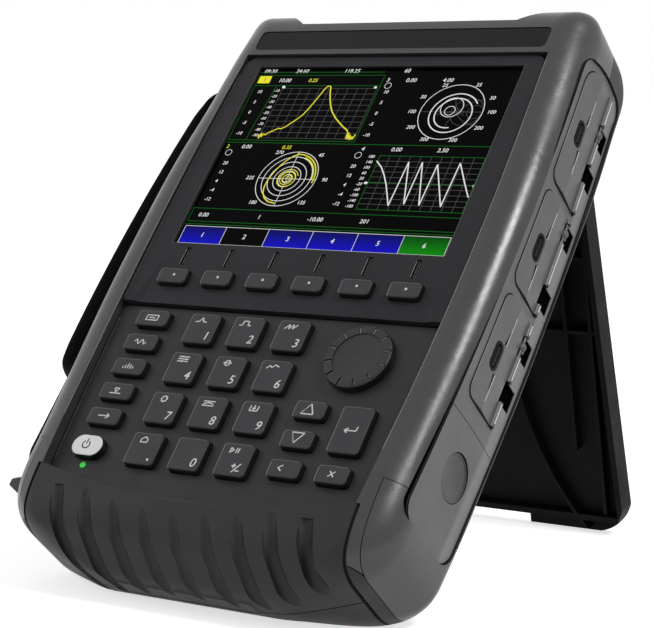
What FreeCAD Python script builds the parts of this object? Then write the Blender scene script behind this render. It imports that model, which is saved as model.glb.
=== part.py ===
"""Handheld antenna analyzer, leaning back on its opened kickstand.

The pieces are built in the analyzer's own frame: X to the right of the display, Y up along
the case, Z out of the display, with the zero at the middle of the display's lower edge. Each
finished piece is then leaned back and set on the floor. All sizes are in millimetres.
"""
import FreeCAD, Part
import math
import os

os.makedirs("parts", exist_ok=True)
V = FreeCAD.Vector
AXIS_X = V(1, 0, 0)
AXIS_Y = V(0, 1, 0)
AXIS_Z = V(0, 0, 1)

# ---------------------------------------------------------------- how it stands
lean_deg = 41.1              # case leans back from upright
stand_open_deg = 54.0        # between the back of the case and the opened stand
floor_flat = 0.5             # how much the boot is flattened where it rests

# ---------------------------------------------------------------- display
display_width = 133.0
display_height = 99.8
window_lap = 1.7             # window hidden under the bezel, on each side
window_thick = 1.6
module_thick = 4.2
module_lap = 0.9             # display module is wider than the window, on each side
module_room = 0.5            # around the module, in the chassis
window_corner = 2.0
module_corner = 1.5
display_corner = 1.0
bezel_head = 5.7             # bezel between the display and the top guard

# ---------------------------------------------------------------- case
mid_half_width = 92.8        # half width of the rubber-clad case at its middle
rail_front = 2.0             # front of the side rails at mid height
case_back = -50.0            # plane of the case back
ear_start = display_height + bezel_head   # height where the bezel ends and the top guard begins
rail_end = -101.0            # where the side rails meet the corner guards
bow_radius = 2294.0          # the sides are slightly bowed
bow_centre = -15.0           # height where the case is widest
seam = 0.3                   # visible gap between two neighbouring outer pieces
rub = 0.4                    # gap between curved outer pieces and what is under them

# ---------------------------------------------------------------- chassis
chassis_top = ear_start + 15.5
chassis_bottom = -131.0
chassis_bottom_rise = 4.0    # how much its bottom arc rises at the sides
chassis_wall = 2.5
chassis_front = -6.0         # outer face of its front wall
chassis_back = -46.5         # plane where it meets the rear housing
chassis_foot_radius = 38.0
chassis_top_radius = 8.0
guard_rear = -29.0           # where the side strips of the rear housing meet the guard

# ---------------------------------------------------------------- front panels
panel_top_half = 75.5        # half width of the front panels at the top
panel_mid_half = 78.0
panel_foot_half = 74.0
panel_mid_height = -10.0
panel_foot_height = -113.3
groove = 0.5                 # dark gap between the front panels and the rubber
bezel_front = 0.8
bezel_plate = 1.6
bezel_corner = 6.0
step_height = -31.5          # where the bezel steps down to the keypad
keypad_front = -2.0
keypad_plate = 2.0
keypad_arc_mid = -121.8      # lower edge of the keypad at the middle
keypad_arc_side = -113.3     # and at its two sides
panel_wall = 2.0

# ---------------------------------------------------------------- boot and corner guards
boot_half = 80.2             # the boot ends here and the corner guards begin
valley_half = 74.6           # shallow groove inside each end of the boot
valley_width = 1.4
valley_depth = 1.2
tongue_foot = -135.0         # lower end of the tongue between the boot and a corner guard
tongue_back = -19.0          # how far back the tongue reaches along the boot
rib_count = 9
rib_pitch = 14.6
rib_first = -61.0
rib_width = 3.4
rib_depth = 1.2
rib_slant = 11.0             # how far a rib runs sideways from its top to the lip
rib_arch = 0.0020            # how fast the ribs start higher toward the sides
rib_top = -128.0             # heights of a middle rib's top, middle and foot
rib_middle = -140.0
rib_foot = -149.0
lip_depth = -24.6            # thin step around the boot's foot
lip_groove = 0.5
lip_sink = 0.8
rib_back = -36.0             # ribs end here, under the case

# ---------------------------------------------------------------- name strip
strip_width = 146.0
strip_height = 11.2
strip_corner = 2.5
name_gap = 0.2               # around the strip, in its recess
strip_centre = ear_start + 8.3
strip_depth = 0.8
strip_front = 1.9

# ---------------------------------------------------------------- keys
key_gap = 0.35               # between a key and its window in the panel
key_travel = 1.2
key_flange = 1.1             # flange that keeps a key behind its window
flange_thick = 0.9
flange_gap = 0.4             # rest gap between the flange and the panel
key_edge = 0.8               # rounding along the top of a key
key_corner = 1.6
number_key_size = 14.6
number_key_rise = 3.0
number_column_pitch = 21.8
number_row_pitch = 19.4
number_first_column = -30.8
number_first_row = -42.5
function_key_width = 15.8
function_key_height = 7.8
function_column = -57.3
function_first_row = -39.2
function_row_pitch = 12.2
arrow_key_width = 14.2
arrow_column = 36.3
up_row = -75.2
down_row = -88.6
back_row = -101.9
enter_column = 57.6
enter_row = -82.2
enter_key_height = 20.8
soft_key_width = 14.4
soft_key_height = 7.4
soft_key_rise = 2.2
soft_key_pitch = 22.5
soft_key_row = -18.4
soft_key_count = 6
channel_depth = 0.9          # how far the soft-key area dips at its foot
channel_top = -7.5
channel_top_half = 66.0
channel_foot_half = 73.0
channel_end = 4.0            # width of its slanted ends
pointer_height = -6.8        # short grooves that lead from the display to the soft keys
pointer_width = 3.0
pointer_length = 9.4
pointer_depth = 0.7
power_width = 15.0
power_height = 9.6
power_rise = 3.4
power_column = -58.2
power_row = -102.3
light_radius = 1.3
light_row = -109.9
light_gap = 0.1              # around the light, in its hole
light_proud = 0.4
mat_thick = 1.2
mat_gap = 0.35               # left under a fully pressed key
mat_dome = 3.4               # radius of the domes that the keys press on
mat_half_width = 71.6
mat_hole = 0.75              # radius of the encoder's hole, as a share of its size
mat_inset = 2.0              # mat ends this far inside the keypad panel's arched foot

# ---------------------------------------------------------------- knob
knob_column = 47.4
knob_row = -49.8
knob_radius = 14.4
knob_flare = 0.3             # base is this much wider than the top
knob_rise = 3.8
knob_lift = 0.4              # gap between the knob and the panel
knob_dish = 0.9
knob_rim = 3.8               # flat rim around the dish
knob_edge = 1.0              # rounding of its top edge
knob_notches = 12
notch_width = 1.1
notch_reach_in = 3.6         # how far a notch runs in from the rim
notch_depth = 0.5
shaft_radius = 3.0
shaft_length = 12.0
running_gap = 0.05           # radial clearance of every turning shaft
shaft_room = 1.5             # around the shaft, in the panel
encoder_size = 13.0
encoder_depth = 7.0
encoder_corner = 1.0
bush_wall = 2.6
bush_gap = 0.4               # around the encoder's bushing, in the chassis
bush_floor = 1.0             # left behind the shaft in the encoder
board_hole = 9.0             # clears the end of the encoder, in the board

# ---------------------------------------------------------------- side panels and doors
side_face = 91.6             # outer face of the side panels where the case is widest
side_plate = 3.0
inlay_top = ear_start - 0.5
inlay_foot = -103.0
inlay_front = -6.4           # front edge of the side panels
inlay_back = -45.6           # rear edge of the side panels
door_front = -11.6
door_hinge = -35.7           # line that the port doors turn about
door_tops = (ear_start + 7.1, 46.6, -5.0)
door_feet = (51.4, 0.0, -53.0)
door_rounds = (11.0, 5.0, 5.0)
door_gap = 0.4
door_thick = 2.4
door_corner = 5.0
door_crown = 0.9             # how far the crease of a door stands proud
bead_radius = 1.5            # round bead along a door's hinge edge
hinge_pin_radius = 0.8
pin_hold = 5.0               # length of pin in the door below its notch
pin_tip = 0.9                # and above it
hinge_places = ((92.6, 71.6), (40.6, 9.6), (-15.6, -37.2))
notch_length = 9.6
knuckle_length = 3.2
knuckle_lift = 0.2           # its foot starts this far above the inner face of the side panel
knuckle_ball = 1.9           # radius of the ball-shaped fixed knuckle in each upper notch
notch_depth_side = 1.6
notch_reach = 8.0            # how far a hinge notch reaches toward the case back
pull_length = 13.0
pull_width = 6.2
pull_offset = 3.6            # pull lies this far in front of a door's crease
pull_drop = 1.6              # and this far below its middle
pull_sink = 1.8              # depth of its pocket under the crease
recess_foot = 8.0            # socket recess behind a door starts this far above the door's foot
recess_head = 10.0           # and ends this far below its top
recess_back = -30.0
recess_front = -17.0
recess_depth = 14.0          # how far it reaches in through the chassis wall
battery_seam = -64.0         # where the battery door meets the side panel
battery_seam_bow = 2.4
latch_radius = 9.6
latch_height = -82.0
latch_depth = -26.8
latch_dish = 1.1
latch_travel = 1.2
latch_room = 0.8             # left behind a fully pressed button
latch_flange = 1.2           # flange that keeps the button behind the door
latch_reach = 10.0           # depth of the room for it, from the chassis's face
latch_gap = 0.3              # around the button, in the door
latch_sink = 0.4             # button's rim lies this far under the side face
latch_rim = 0.8              # flat rim around its dish

# ---------------------------------------------------------------- inside
battery_length = 142.0
battery_width = 40.0
battery_thick = 21.0
battery_centre = -88.0
battery_corner = 2.5
battery_cushion = 1.5        # between the battery and the rear housing
bay_gap = 1.0
bay_wall = 2.0
board_thick = 1.6
board_front = -15.0
board_half_width = 80.0
board_top = ear_start + 6.5
board_foot = -60.0
radio_width = 120.0
radio_height = 104.0
radio_thick = 13.0
radio_centre = 34.0
radio_corner = 2.0
port_spacing = 64.0          # between the two test ports
port_depth = -26.0
port_thread_radius = 7.94
port_length = 12.0
port_flange = 10.5
port_flange_thick = 2.0
port_bore = 4.2
port_gap = 0.1               # around a port, in the chassis's top wall
port_hold = 6.0              # length of a port's barrel inside the case
port_floor = 3.0             # depth of metal under a port's bore
port_contact = 0.9
socket_places = ((-9.5, 12.5, 6.0), (9.5, 14.5, 8.0))   # from a door's middle: place, length, depth
socket_overhang = 0.6        # sockets stand this far over the board's edge
socket_length = 10.6
socket_wall = 0.8
socket_lift = 4.0            # sockets reach this far behind the board, beside their own depth
socket_tongue = 2.5          # gap between a socket's end and its tongue
bay_half_width = 54.0        # half width of the gap between the top ears
bay_front = -8.0
bar_top = ear_start + 18.9   # top of the bar between the ears
ear_half_low = 54.0          # where the ears start to rise from the bar
ear_half_high = 65.0
ear_crest = ear_start + 27.5

# ---------------------------------------------------------------- kickstand
stand_axis_height = ear_start - 10.5
stand_axis_depth = -56.0
stand_top_half = 75.0
stand_foot_half = 83.0
stand_gap = 0.5              # between the folded stand and the case back
stand_depth = 10.0
stand_skin = 2.2
stand_flange = 2.8
stand_rib = 1.6
stand_rib_drop = 3.0         # how far the ribs stay below the flange
stand_corner = 20.0
stand_corner_side = 0.4      # the round corners are set in this much from the side
stand_corner_foot = 1.0      # and lowered by this much
stand_notch_half = 31.0
stand_notch = 4.0
stand_shelf = 2.0            # flat between the notch and the tray
stand_cross_rows = (44.0, 78.0)                # cross ribs, below the hinge
stand_long_ribs = ((60.0, 40.0), (72.0, 10.0)) # place from the middle, and end above the foot
stand_rib_top = 12.0         # long ribs end this far below the hinge
stand_bow_radius = 150.0     # the two bowed ribs
stand_bow_middle = 180.0
stand_bow_drop = 80.0
stand_bow_reach = 78.0
stand_eye_radius = 5.2
stand_pin_radius = 2.5
boss_width = 12.0
boss_place = 58.0
boss_gap = 0.6
eye_room = 1.5               # below the hinge eye, in the gaps for the bosses

# ---------------------------------------------------------------- hand strap
strap_thick = 5.0
strap_width = 34.0
strap_front = -12.0
strap_top = ear_start - 6.0
strap_foot = -63.5
strap_reach = 110.0          # outer face of the strap where it stands off most
strap_bow = 860.0            # it bends gently back toward the case at both ends
strap_bend = 11.0
anchor_proud = 2.0
strap_gap = 0.3              # between the strap's ends and its anchors
anchor_length = 16.0
anchor_inset = 3.0           # anchors are narrower than the strap, on each side
anchor_depth = 1.5           # how far they reach inside the chassis wall
anchor_gap = 0.1             # around an anchor, in its slot
lug_height = -117.0          # strap lug on the lower left corner
lug_reach = 98.5
lug_half_length = 8.0
lug_tip_half = 1.5
lug_slope = 4.0              # its lower edge runs down this much toward the case
lug_front = -11.0
lug_width = 10.0

# ---------------------------------------------------------------- screws
screw_head = 2.8
screw_shank = 1.3
screw_length = 9.0
screw_sink = 2.0             # depth of the seats of the screw heads
screw_head_thick = 1.6
screw_slot = 0.8
screw_fit = 0.05             # between a screw and its hole
seat_gap = 0.2               # around a screw's head
post_wall = 1.7              # wall of the posts that take the screws
post_room = 0.5              # around a post, in the board
screw_inset = 7.0
screw_heights = (ear_start - 1.5, 49.0, -50.0)


# ================================================================ helpers
def block(u0, u1, v0, v1, w0, w1):
    """A plain box between two corners."""
    return Part.makeBox(u1 - u0, v1 - v0, w1 - w0, V(u0, v0, w0))


def arc(a, b, c):
    return Part.Arc(V(*a), V(*b), V(*c)).toShape()


def line(a, b):
    return Part.makeLine(V(*a), V(*b))


def prism(edges, direction):
    """A solid from a closed ring of edges, pushed along a direction."""
    return Part.Face(Part.Wire(edges)).extrude(direction)


def edges_along(shape, axis):
    """Straight edges of a shape that run along an axis."""
    straight = [e for e in shape.Edges if isinstance(e.Curve, Part.Line)]
    return [e for e in straight if abs(e.Curve.Direction.dot(axis)) > 0.999]


def edges_at(shape, axis, place):
    """Edges of a shape that lie wholly in the plane at a place on an axis."""
    found = []
    for edge in shape.Edges:
        box = edge.BoundBox
        low, high = V(box.XMin, box.YMin, box.ZMin).dot(axis), V(box.XMax, box.YMax, box.ZMax).dot(axis)
        if abs(low - place) < 0.001 and abs(high - place) < 0.001:
            found.append(edge)
    return found


def plate(u, v, width, height, corner, w0, w1):
    """A plate with rounded corners, centred on u and v."""
    body = block(u - width / 2, u + width / 2, v - height / 2, v + height / 2, w0, w1)
    return body.makeFillet(corner, edges_along(body, AXIS_Z))


def rod(radius, length, base, direction):
    return Part.makeCylinder(radius, length, base, direction)


def both_sides(shape):
    """A shape and its mirror image on the other side of the case."""
    return [shape, shape.mirror(V(0, 0, 0), AXIS_X)]


def join(shapes):
    whole = shapes[0].fuse(shapes[1:]) if len(shapes) > 1 else shapes[0]
    return whole.removeSplitter()


# ================================================================ case envelope
def section(v, half, front, back, front_round, back_round):
    """One rounded cross-section of the rubber-clad case, in the plane at height v."""
    k = 1 - math.sqrt(0.5)
    fr, br = front_round, back_round
    ring = []
    ring.append(line((-half + fr, v, front), (half - fr, v, front)))
    ring.append(arc((half - fr, v, front), (half - k * fr, v, front - k * fr), (half, v, front - fr)))
    ring.append(line((half, v, front - fr), (half, v, back + br)))
    ring.append(arc((half, v, back + br), (half - k * br, v, back + k * br), (half - br, v, back)))
    ring.append(line((half - br, v, back), (-half + br, v, back)))
    ring.append(arc((-half + br, v, back), (-half + k * br, v, back + k * br), (-half, v, back + br)))
    ring.append(line((-half, v, back + br), (-half, v, front - fr)))
    ring.append(arc((-half, v, front - fr), (-half + k * fr, v, front - k * fr), (-half + fr, v, front)))
    return Part.Wire(ring)


def stations():
    """Height, half width, front, back and the two roundings, from the toe to the ears."""
    wide, front, back = mid_half_width, rail_front, case_back
    return [
        (-150.0, wide - 59.8, front - 20.5, back + 24.0, 2.5, 3.0),
        (-148.8, wide - 50.8, front - 17.8, back + 20.5, 5.0, 5.0),
        (-146.0, wide - 38.3, front - 13.4, back + 15.5, 8.5, 8.5),
        (-141.0, wide - 23.8, front - 8.2, back + 6.8, 12.5, 12.0),
        (-134.0, wide - 10.3, front - 2.4, back + 1.2, 14.0, 8.5),
        (-124.0, wide - 3.8, front + 0.2, back, 16.0, 6.0),
        (-114.0, wide - 2.2, front + 1.0, back, 16.0, 6.0),
        (-104.0, wide - 1.8, front + 1.1, back, 16.0, 5.5),
        (-70.0, wide - 0.8, front + 0.4, back, 14.5, 5.5),
        (-30.0, wide, front, back, 12.0, 5.5),
        (10.0, wide, front, back, 11.5, 6.0),
        (50.0, wide - 0.4, front + 0.2, back, 13.3, 6.0),
        (ear_start - 25.5, wide - 1.4, front + 0.2, back, 16.5, 6.0),
        (ear_start - 5.5, wide - 2.7, front + 0.2, back, 16.5, 6.0),
        (ear_start + 6.5, wide - 3.6, front + 0.4, back, 17.0, 5.5),
        (ear_start + 16.5, wide - 4.6, front, back, 16.5, 6.0),
        (ear_start + 23.5, wide - 6.0, front - 2.2, back + 1.8, 12.5, 8.0),
        (ear_start + 28.5, wide - 8.8, front - 6.6, back + 5.0, 7.0, 9.0),
        (ear_start + 31.5, wide - 14.8, front - 11.2, back + 9.0, 5.0, 8.0),
        (ear_start + 33.2, wide - 25.8, front - 16.5, back + 14.8, 4.0, 6.0),
    ]


def side_at(v, depth=0.0):
    """Distance of a bowed side from the middle, at a depth below the side panels' face."""
    radius = bow_radius - depth
    return side_face - bow_radius + math.sqrt(radius ** 2 - (v - bow_centre) ** 2)


def side_arc(sign, depth, start, end, w):
    """The bow of one side, between two heights."""
    middle = (start + end) / 2
    ends = [(sign * side_at(v, depth), v, w) for v in (start, middle, end)]
    return arc(*ends)


def between_sides(depth):
    """Everything between the two bowed sides, at a depth below their faces."""
    foot, top, low, high = -160.0, 160.0, -100.0, 60.0
    right, left = side_arc(1, depth, top, foot, low), side_arc(-1, depth, foot, top, low)
    half_foot, half_top = side_at(foot, depth), side_at(top, depth)
    ring = [right, line((half_foot, foot, low), (-half_foot, foot, low)), left,
            line((-half_top, top, low), (half_top, top, low))]
    return prism(ring, V(0, 0, high - low))


def seated(shape, v):
    """A piece made for a flat side face, turned and moved onto the bowed side at a height."""
    copy = shape.copy()
    copy.rotate(V(side_face, v, 0), AXIS_Z, math.degrees(math.asin((v - bow_centre) / bow_radius)))
    copy.translate(V(side_at(v) - side_face, 0, 0))
    return copy


def envelope(inset):
    """The whole rounded outer form of the case, drawn in by an inset."""
    rings = []
    for v, half, front, back, front_round, back_round in stations():
        toward_middle = inset * v / 152.5
        rounds = (max(front_round - inset, 1.0), max(back_round - inset, 1.0))
        rings.append(section(v - toward_middle, half - inset, front - inset, back + inset, *rounds))
    return Part.makeLoft(rings, True, False)


def panel_outline(gap, top, foot_arc):
    """The front panels' region: bowed sides, a straight top, and a straight or arched foot."""
    top_half, mid_half, foot_half = panel_top_half - gap, panel_mid_half - gap, panel_foot_half - gap
    side = arc((top_half, ear_start, 0), (mid_half, panel_mid_height, 0), (foot_half, panel_foot_height, 0))
    sweep = side.Curve
    low, high = chassis_front, rail_front + 20

    def bowed_half(v):
        return sweep.Center.x + math.sqrt(sweep.Radius ** 2 - (v - sweep.Center.y) ** 2)

    foot = foot_arc[0] + gap
    half_top, half_foot = bowed_half(top), bowed_half(foot)
    middle = (top + foot) / 2
    right = arc((half_top, top, low), (bowed_half(middle), middle, low), (half_foot, foot, low))
    left = arc((-half_foot, foot, low), (-bowed_half(middle), middle, low), (-half_top, top, low))
    base_line = line((half_foot, foot, low), (-half_foot, foot, low))
    if foot_arc[1] != foot_arc[0]:
        base_line = arc((half_foot, foot, low), (0, foot_arc[1] + gap, low), (-half_foot, foot, low))
    roof = line((-half_top, top, low), (half_top, top, low))
    return prism([right, base_line, left, roof], V(0, 0, high - low))


def chassis_block(grow, low, high):
    """The chassis's outer form: bowed sides, an arched bottom and rounded corners."""
    depth = side_plate - grow
    foot_side, foot_mid = chassis_bottom + chassis_bottom_rise - grow, chassis_bottom - grow
    half_foot, half_top = side_at(foot_side, depth), side_at(chassis_top, depth)
    ring = [
        side_arc(1, depth, chassis_top, foot_side, low),
        arc((half_foot, foot_side, low), (0, foot_mid, low), (-half_foot, foot_side, low)),
        side_arc(-1, depth, foot_side, chassis_top, low),
        line((-half_top, chassis_top, low), (half_top, chassis_top, low)),
    ]
    body = prism(ring, V(0, 0, high - low))
    feet = [e for e in edges_along(body, AXIS_Z) if e.BoundBox.YMax < 0]
    body = body.makeFillet(chassis_foot_radius + grow, feet)
    heads = [e for e in edges_along(body, AXIS_Z) if e.BoundBox.YMin > chassis_top - 1]
    return body.makeFillet(chassis_top_radius + grow, heads)


def inlay_ring(grow, u):
    """Outline of a side panel: long and narrow, with an arched top and a rounded foot."""
    top, foot = inlay_top + grow, inlay_foot - grow
    front, back = inlay_front + grow, inlay_back - grow
    return [
        arc((u, foot, front + 2.5), (u, 0, front), (u, top, front - 0.4)),
        arc((u, top, front - 0.4), (u, top + 6.0, front - 2.6), (u, top + 9.5, front - 8.6)),
        arc((u, top + 9.5, front - 8.6), (u, top + 12.2, front - 18.6), (u, top + 12.0, back + 9.6)),
        arc((u, top + 12.0, back + 9.6), (u, top + 9.6, back + 3.1), (u, top + 1.0, back + 1.1)),
        arc((u, top + 1.0, back + 1.1), (u, 0, back), (u, foot + 1.0, back + 0.4)),
        arc((u, foot + 1.0, back + 0.4), (u, foot - 6.5, back + 2.8), (u, foot - 9.0, back + 9.6)),
        arc((u, foot - 9.0, back + 9.6), (u, foot - 9.6, front - 19.6), (u, foot - 8.0, front - 5.6)),
        arc((u, foot - 8.0, front - 5.6), (u, foot - 5.8, front + 0.6), (u, foot, front + 2.5)),
    ]


def inlay_prism(grow, u0, u1):
    return prism(inlay_ring(grow, u0), V(u1 - u0, 0, 0))


# ================================================================ outer pieces
reach = 200.0                # larger than the case in every direction
inside_u = 78.0              # a place well inside the case's side walls
bay_foot = battery_centre - battery_width / 2 - bay_gap
bay_top = battery_centre + battery_width / 2 + bay_gap
bay_front_face = chassis_back + battery_cushion + battery_thick
outer = envelope(0.0)
inlay_pockets = join(both_sides(inlay_prism(seam, inside_u, reach)))
chassis_space = chassis_block(rub, chassis_back, chassis_front)
bay_space = block(-bay_half_width, bay_half_width, chassis_top, reach, chassis_back, bay_front)
panel_space = panel_outline(0.0, ear_start, (keypad_arc_side, keypad_arc_mid))


def rear_region(gap):
    """Everything that belongs to the rear housing: its back, its side strips and its crest."""
    front = guard_rear + gap
    back = block(-reach, reach, -reach, reach, -reach, chassis_back + gap)
    crest = block(-reach, reach, chassis_top, reach, -reach, front)
    strip = block(inside_u, reach, inlay_foot + 2, chassis_top + 1, -reach, front)
    return join([back, crest] + both_sides(strip))


def ear_gap():
    """The space over the bar, between the sloping inner ends of the two ears."""
    spread = (ear_half_high - ear_half_low) / (ear_crest - bar_top)
    top_half = ear_half_low + spread * (reach - bar_top)
    corners = [(ear_half_low, bar_top, -reach), (top_half, reach, -reach), (-top_half, reach, -reach),
               (-ear_half_low, bar_top, -reach)]
    sides = [line(a, b) for a, b in zip(corners, corners[1:] + corners[:1])]
    return prism(sides, V(0, 0, 2 * reach))


def guard_tongue(gap):
    """The narrow tongue that a rail sends down between the boot and the corner guard."""
    inner = valley_half + valley_width
    beside_panel = block(panel_foot_half - panel_wall, boot_half, keypad_arc_side - gap, rail_end,
                         chassis_back, reach)
    beside_boot = block(inner - gap, boot_half, tongue_foot - gap, keypad_arc_side, tongue_back - gap, reach)
    return beside_panel.fuse(beside_boot)


def guard_frame():
    """Rubber U over both sides and the top, with an ear at each top corner."""
    upper = block(-reach, reach, rail_end, reach, -reach, reach)
    body = outer.common(join([upper] + both_sides(guard_tongue(0.0))))
    recess = plate(0, strip_centre, strip_width, strip_height, strip_corner, strip_front - strip_depth, reach)
    cuts = [panel_space, chassis_space, inlay_pockets, bay_space, rear_region(seam), ear_gap(), recess]
    return body.cut(cuts)


def rib_cutter(u):
    """One shallow slanted valley, as a ring that just bites into the boot's curved front."""
    rise = rib_arch * (u + rib_slant / 2) ** 2
    proud = rib_width - rib_depth
    top = (u, rise + rib_top, rail_front + rib_width - 0.4)
    middle = (u + 0.42 * rib_slant, 0.7 * rise + rib_middle - 0.64 * proud, rail_front - 7.2 + 0.77 * proud)
    foot = (u + rib_slant, 0.7 * rise + rib_foot - 0.91 * proud, rail_front - 18.3 + 0.41 * proud)
    path = arc(top, middle, foot).Curve
    return Part.makeTorus(path.Radius, rib_width, path.Center, path.Axis)


def bottom_boot():
    """Ribbed rubber bumper under the keypad."""
    body = outer.common(block(-boot_half, boot_half, -reach, keypad_arc_side, chassis_back, reach))
    edge = valley_half + valley_width
    valley = block(valley_half, edge, -reach, reach, -reach, reach).cut(envelope(valley_depth))
    body = body.cut([panel_space, chassis_space] + both_sides(valley) + both_sides(guard_tongue(seam)))
    lip = block(-valley_half, valley_half, -reach, 0, lip_depth - lip_groove, lip_depth)
    body = body.cut(lip.cut(envelope(lip_sink)))
    keep = block(-reach, reach, -reach, keypad_arc_mid, rib_back, reach)
    ribs = [rib_cutter(rib_first + rib_pitch * i).common(keep) for i in range(rib_count)]
    return body.cut(ribs)


def corner_guard():
    """Rubber corner between the boot and the right rail."""
    body = outer.common(block(boot_half + seam, reach, -reach, rail_end - seam, chassis_back, reach))
    return body.cut([panel_space, chassis_space, inlay_pockets])


def rear_housing():
    """Rear shell with the stand's hinge bosses and the screw holes."""
    body = outer.common(rear_region(0.0))
    body = body.cut([inlay_pockets, bay_space, chassis_space, ear_gap()])
    bosses = []
    for place in (-boss_place, boss_place):
        left = place - boss_width / 2
        base = V(left, stand_axis_height, stand_axis_depth)
        eye = rod(stand_eye_radius, boss_width, base, AXIS_X)
        web = block(left, left + boss_width, stand_axis_height - stand_eye_radius,
                    stand_axis_height + stand_eye_radius, stand_axis_depth, case_back + 1.0)
        bosses.append(eye.fuse(web))
    body = body.fuse(bosses)
    body = body.cut(rod(stand_pin_radius, 2 * reach, V(-reach, stand_axis_height, stand_axis_depth), AXIS_X))
    holes = [rod(screw_shank, 20, place, AXIS_Z) for place in screw_places()]
    seats = [rod(screw_head + seat_gap, 2 * screw_sink, place - V(0, 0, screw_sink), AXIS_Z)
             for place in screw_places()]
    return body.cut(holes + seats)


def screw_places():
    """Centres of the rear housing's screws, on the back plane."""
    return [V(sign * (side_at(height, side_plate) - screw_inset), height, case_back)
            for sign in (-1, 1) for height in screw_heights]


def housing_screws():
    """Six screws that hold the rear housing to the chassis."""
    solids = []
    for place in screw_places():
        inner = place + V(0, 0, screw_sink)
        outer_face = inner - V(0, 0, screw_head_thick)
        head = rod(screw_head, screw_head_thick, outer_face, AXIS_Z)
        slot = block(place.x - screw_head, place.x + screw_head, place.y - screw_slot / 2,
                     place.y + screw_slot / 2, place.z, outer_face.z + screw_slot)
        shank = rod(screw_shank - screw_fit, screw_length, inner, AXIS_Z)
        solids.append(head.fuse(shank).cut(slot))
    return Part.makeCompound(solids)


# ================================================================ chassis
def key_layout():
    """Every key: name, centre, width, height, corner radius, rise and the panel it sits in."""
    keys = []
    for i in range(soft_key_count):
        u = soft_key_pitch * (i - (soft_key_count - 1) / 2)
        keys.append(("soft_key_%d" % (i + 1), u, soft_key_row, soft_key_width, soft_key_height,
                     key_corner, soft_key_rise, bezel_front))
    names = ["1", "2", "3", "4", "5", "6", "7", "8", "9", "point", "0", "sign"]
    for i, name in enumerate(names):
        u = number_first_column + number_column_pitch * (i % 3)
        v = number_first_row - number_row_pitch * (i // 3)
        keys.append(("number_key_" + name, u, v, number_key_size, number_key_size,
                     key_corner, number_key_rise, keypad_front))
    for i in range(5):
        v = function_first_row - function_row_pitch * i
        keys.append(("function_key_%d" % (i + 1), function_column, v, function_key_width,
                     function_key_height, key_corner, number_key_rise, keypad_front))
    small = [("up_key", arrow_column, up_row, function_key_height),
             ("down_key", arrow_column, down_row, function_key_height),
             ("back_key", arrow_column, back_row, function_key_height),
             ("escape_key", enter_column, back_row, function_key_height),
             ("enter_key", enter_column, enter_row, enter_key_height)]
    for name, u, v, height in small:
        keys.append((name, u, v, arrow_key_width, height, key_corner, number_key_rise, keypad_front))
    keys.append(("power_button", power_column, power_row, power_width, power_height,
                 power_height / 2 - 0.01, power_rise, keypad_front))
    return keys


def flange_levels(front):
    """Front and back of a key's flange, and the back of the panel plate over it."""
    thick = bezel_plate if front == bezel_front else keypad_plate
    behind_plate = front - thick
    return behind_plate - flange_gap, behind_plate - flange_gap - flange_thick, behind_plate


def key_solid(u, v, width, height, corner, rise, front):
    """A key cap with a rounded top and a flange behind its window."""
    flange_front, flange_back, _ = flange_levels(front)
    cap = plate(u, v, width, height, corner, flange_back, front + rise)
    cap = cap.makeFillet(key_edge, edges_at(cap, AXIS_Z, front + rise))
    flange = plate(u, v, width + 2 * key_flange, height + 2 * key_flange, corner + key_flange / 2,
                   flange_back, flange_front)
    return cap.fuse(flange).removeSplitter()


def key_window(u, v, width, height, corner, front):
    """The cut that a key passes through, running right through a panel plate."""
    return plate(u, v, width + 2 * key_gap, height + 2 * key_gap, corner + key_gap, front - 8, front + 8)


def flange_space(u, v, width, height, corner, low, high):
    """Room for a key's flange in the walls behind the panels."""
    grow = 2 * (key_flange + key_gap)
    return plate(u, v, width + grow, height + grow, corner, low, high)


def chassis_shell():
    """The bare tub: a front wall and the walls around it, open at the back."""
    inner = chassis_block(-chassis_wall, chassis_back - 1, chassis_front - chassis_wall)
    return chassis_block(0.0, chassis_back, chassis_front).cut(inner)


def right_wall_space():
    """Where the tub's own right wall is left out, for the separate port wall."""
    return block(inside_u, reach, bay_foot, chassis_top - chassis_top_radius, chassis_back - 1,
                 chassis_front - chassis_wall)


def latch_space():
    """Room for the latch button's flange behind the battery door."""
    half = latch_radius + latch_flange + latch_room
    return block(side_at(0, side_plate) - latch_reach, reach, latch_height - half, latch_height + half,
                 chassis_back - 1, latch_depth + half)


def port_wall():
    """Right wall of the chassis, with the openings of the sockets, the latch and the battery."""
    side = side_at(0, side_plate)
    cuts = [latch_space(), block(side - latch_reach, reach, bay_foot - 1, bay_top, chassis_back - 1,
                                 bay_front_face + bay_gap)]
    for top, foot in zip(door_tops, door_feet):
        cuts.append(block(side - recess_depth, reach, foot + recess_foot, top - recess_head,
                          recess_back, recess_front))
    return chassis_shell().common(right_wall_space()).cut(cuts)


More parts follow.
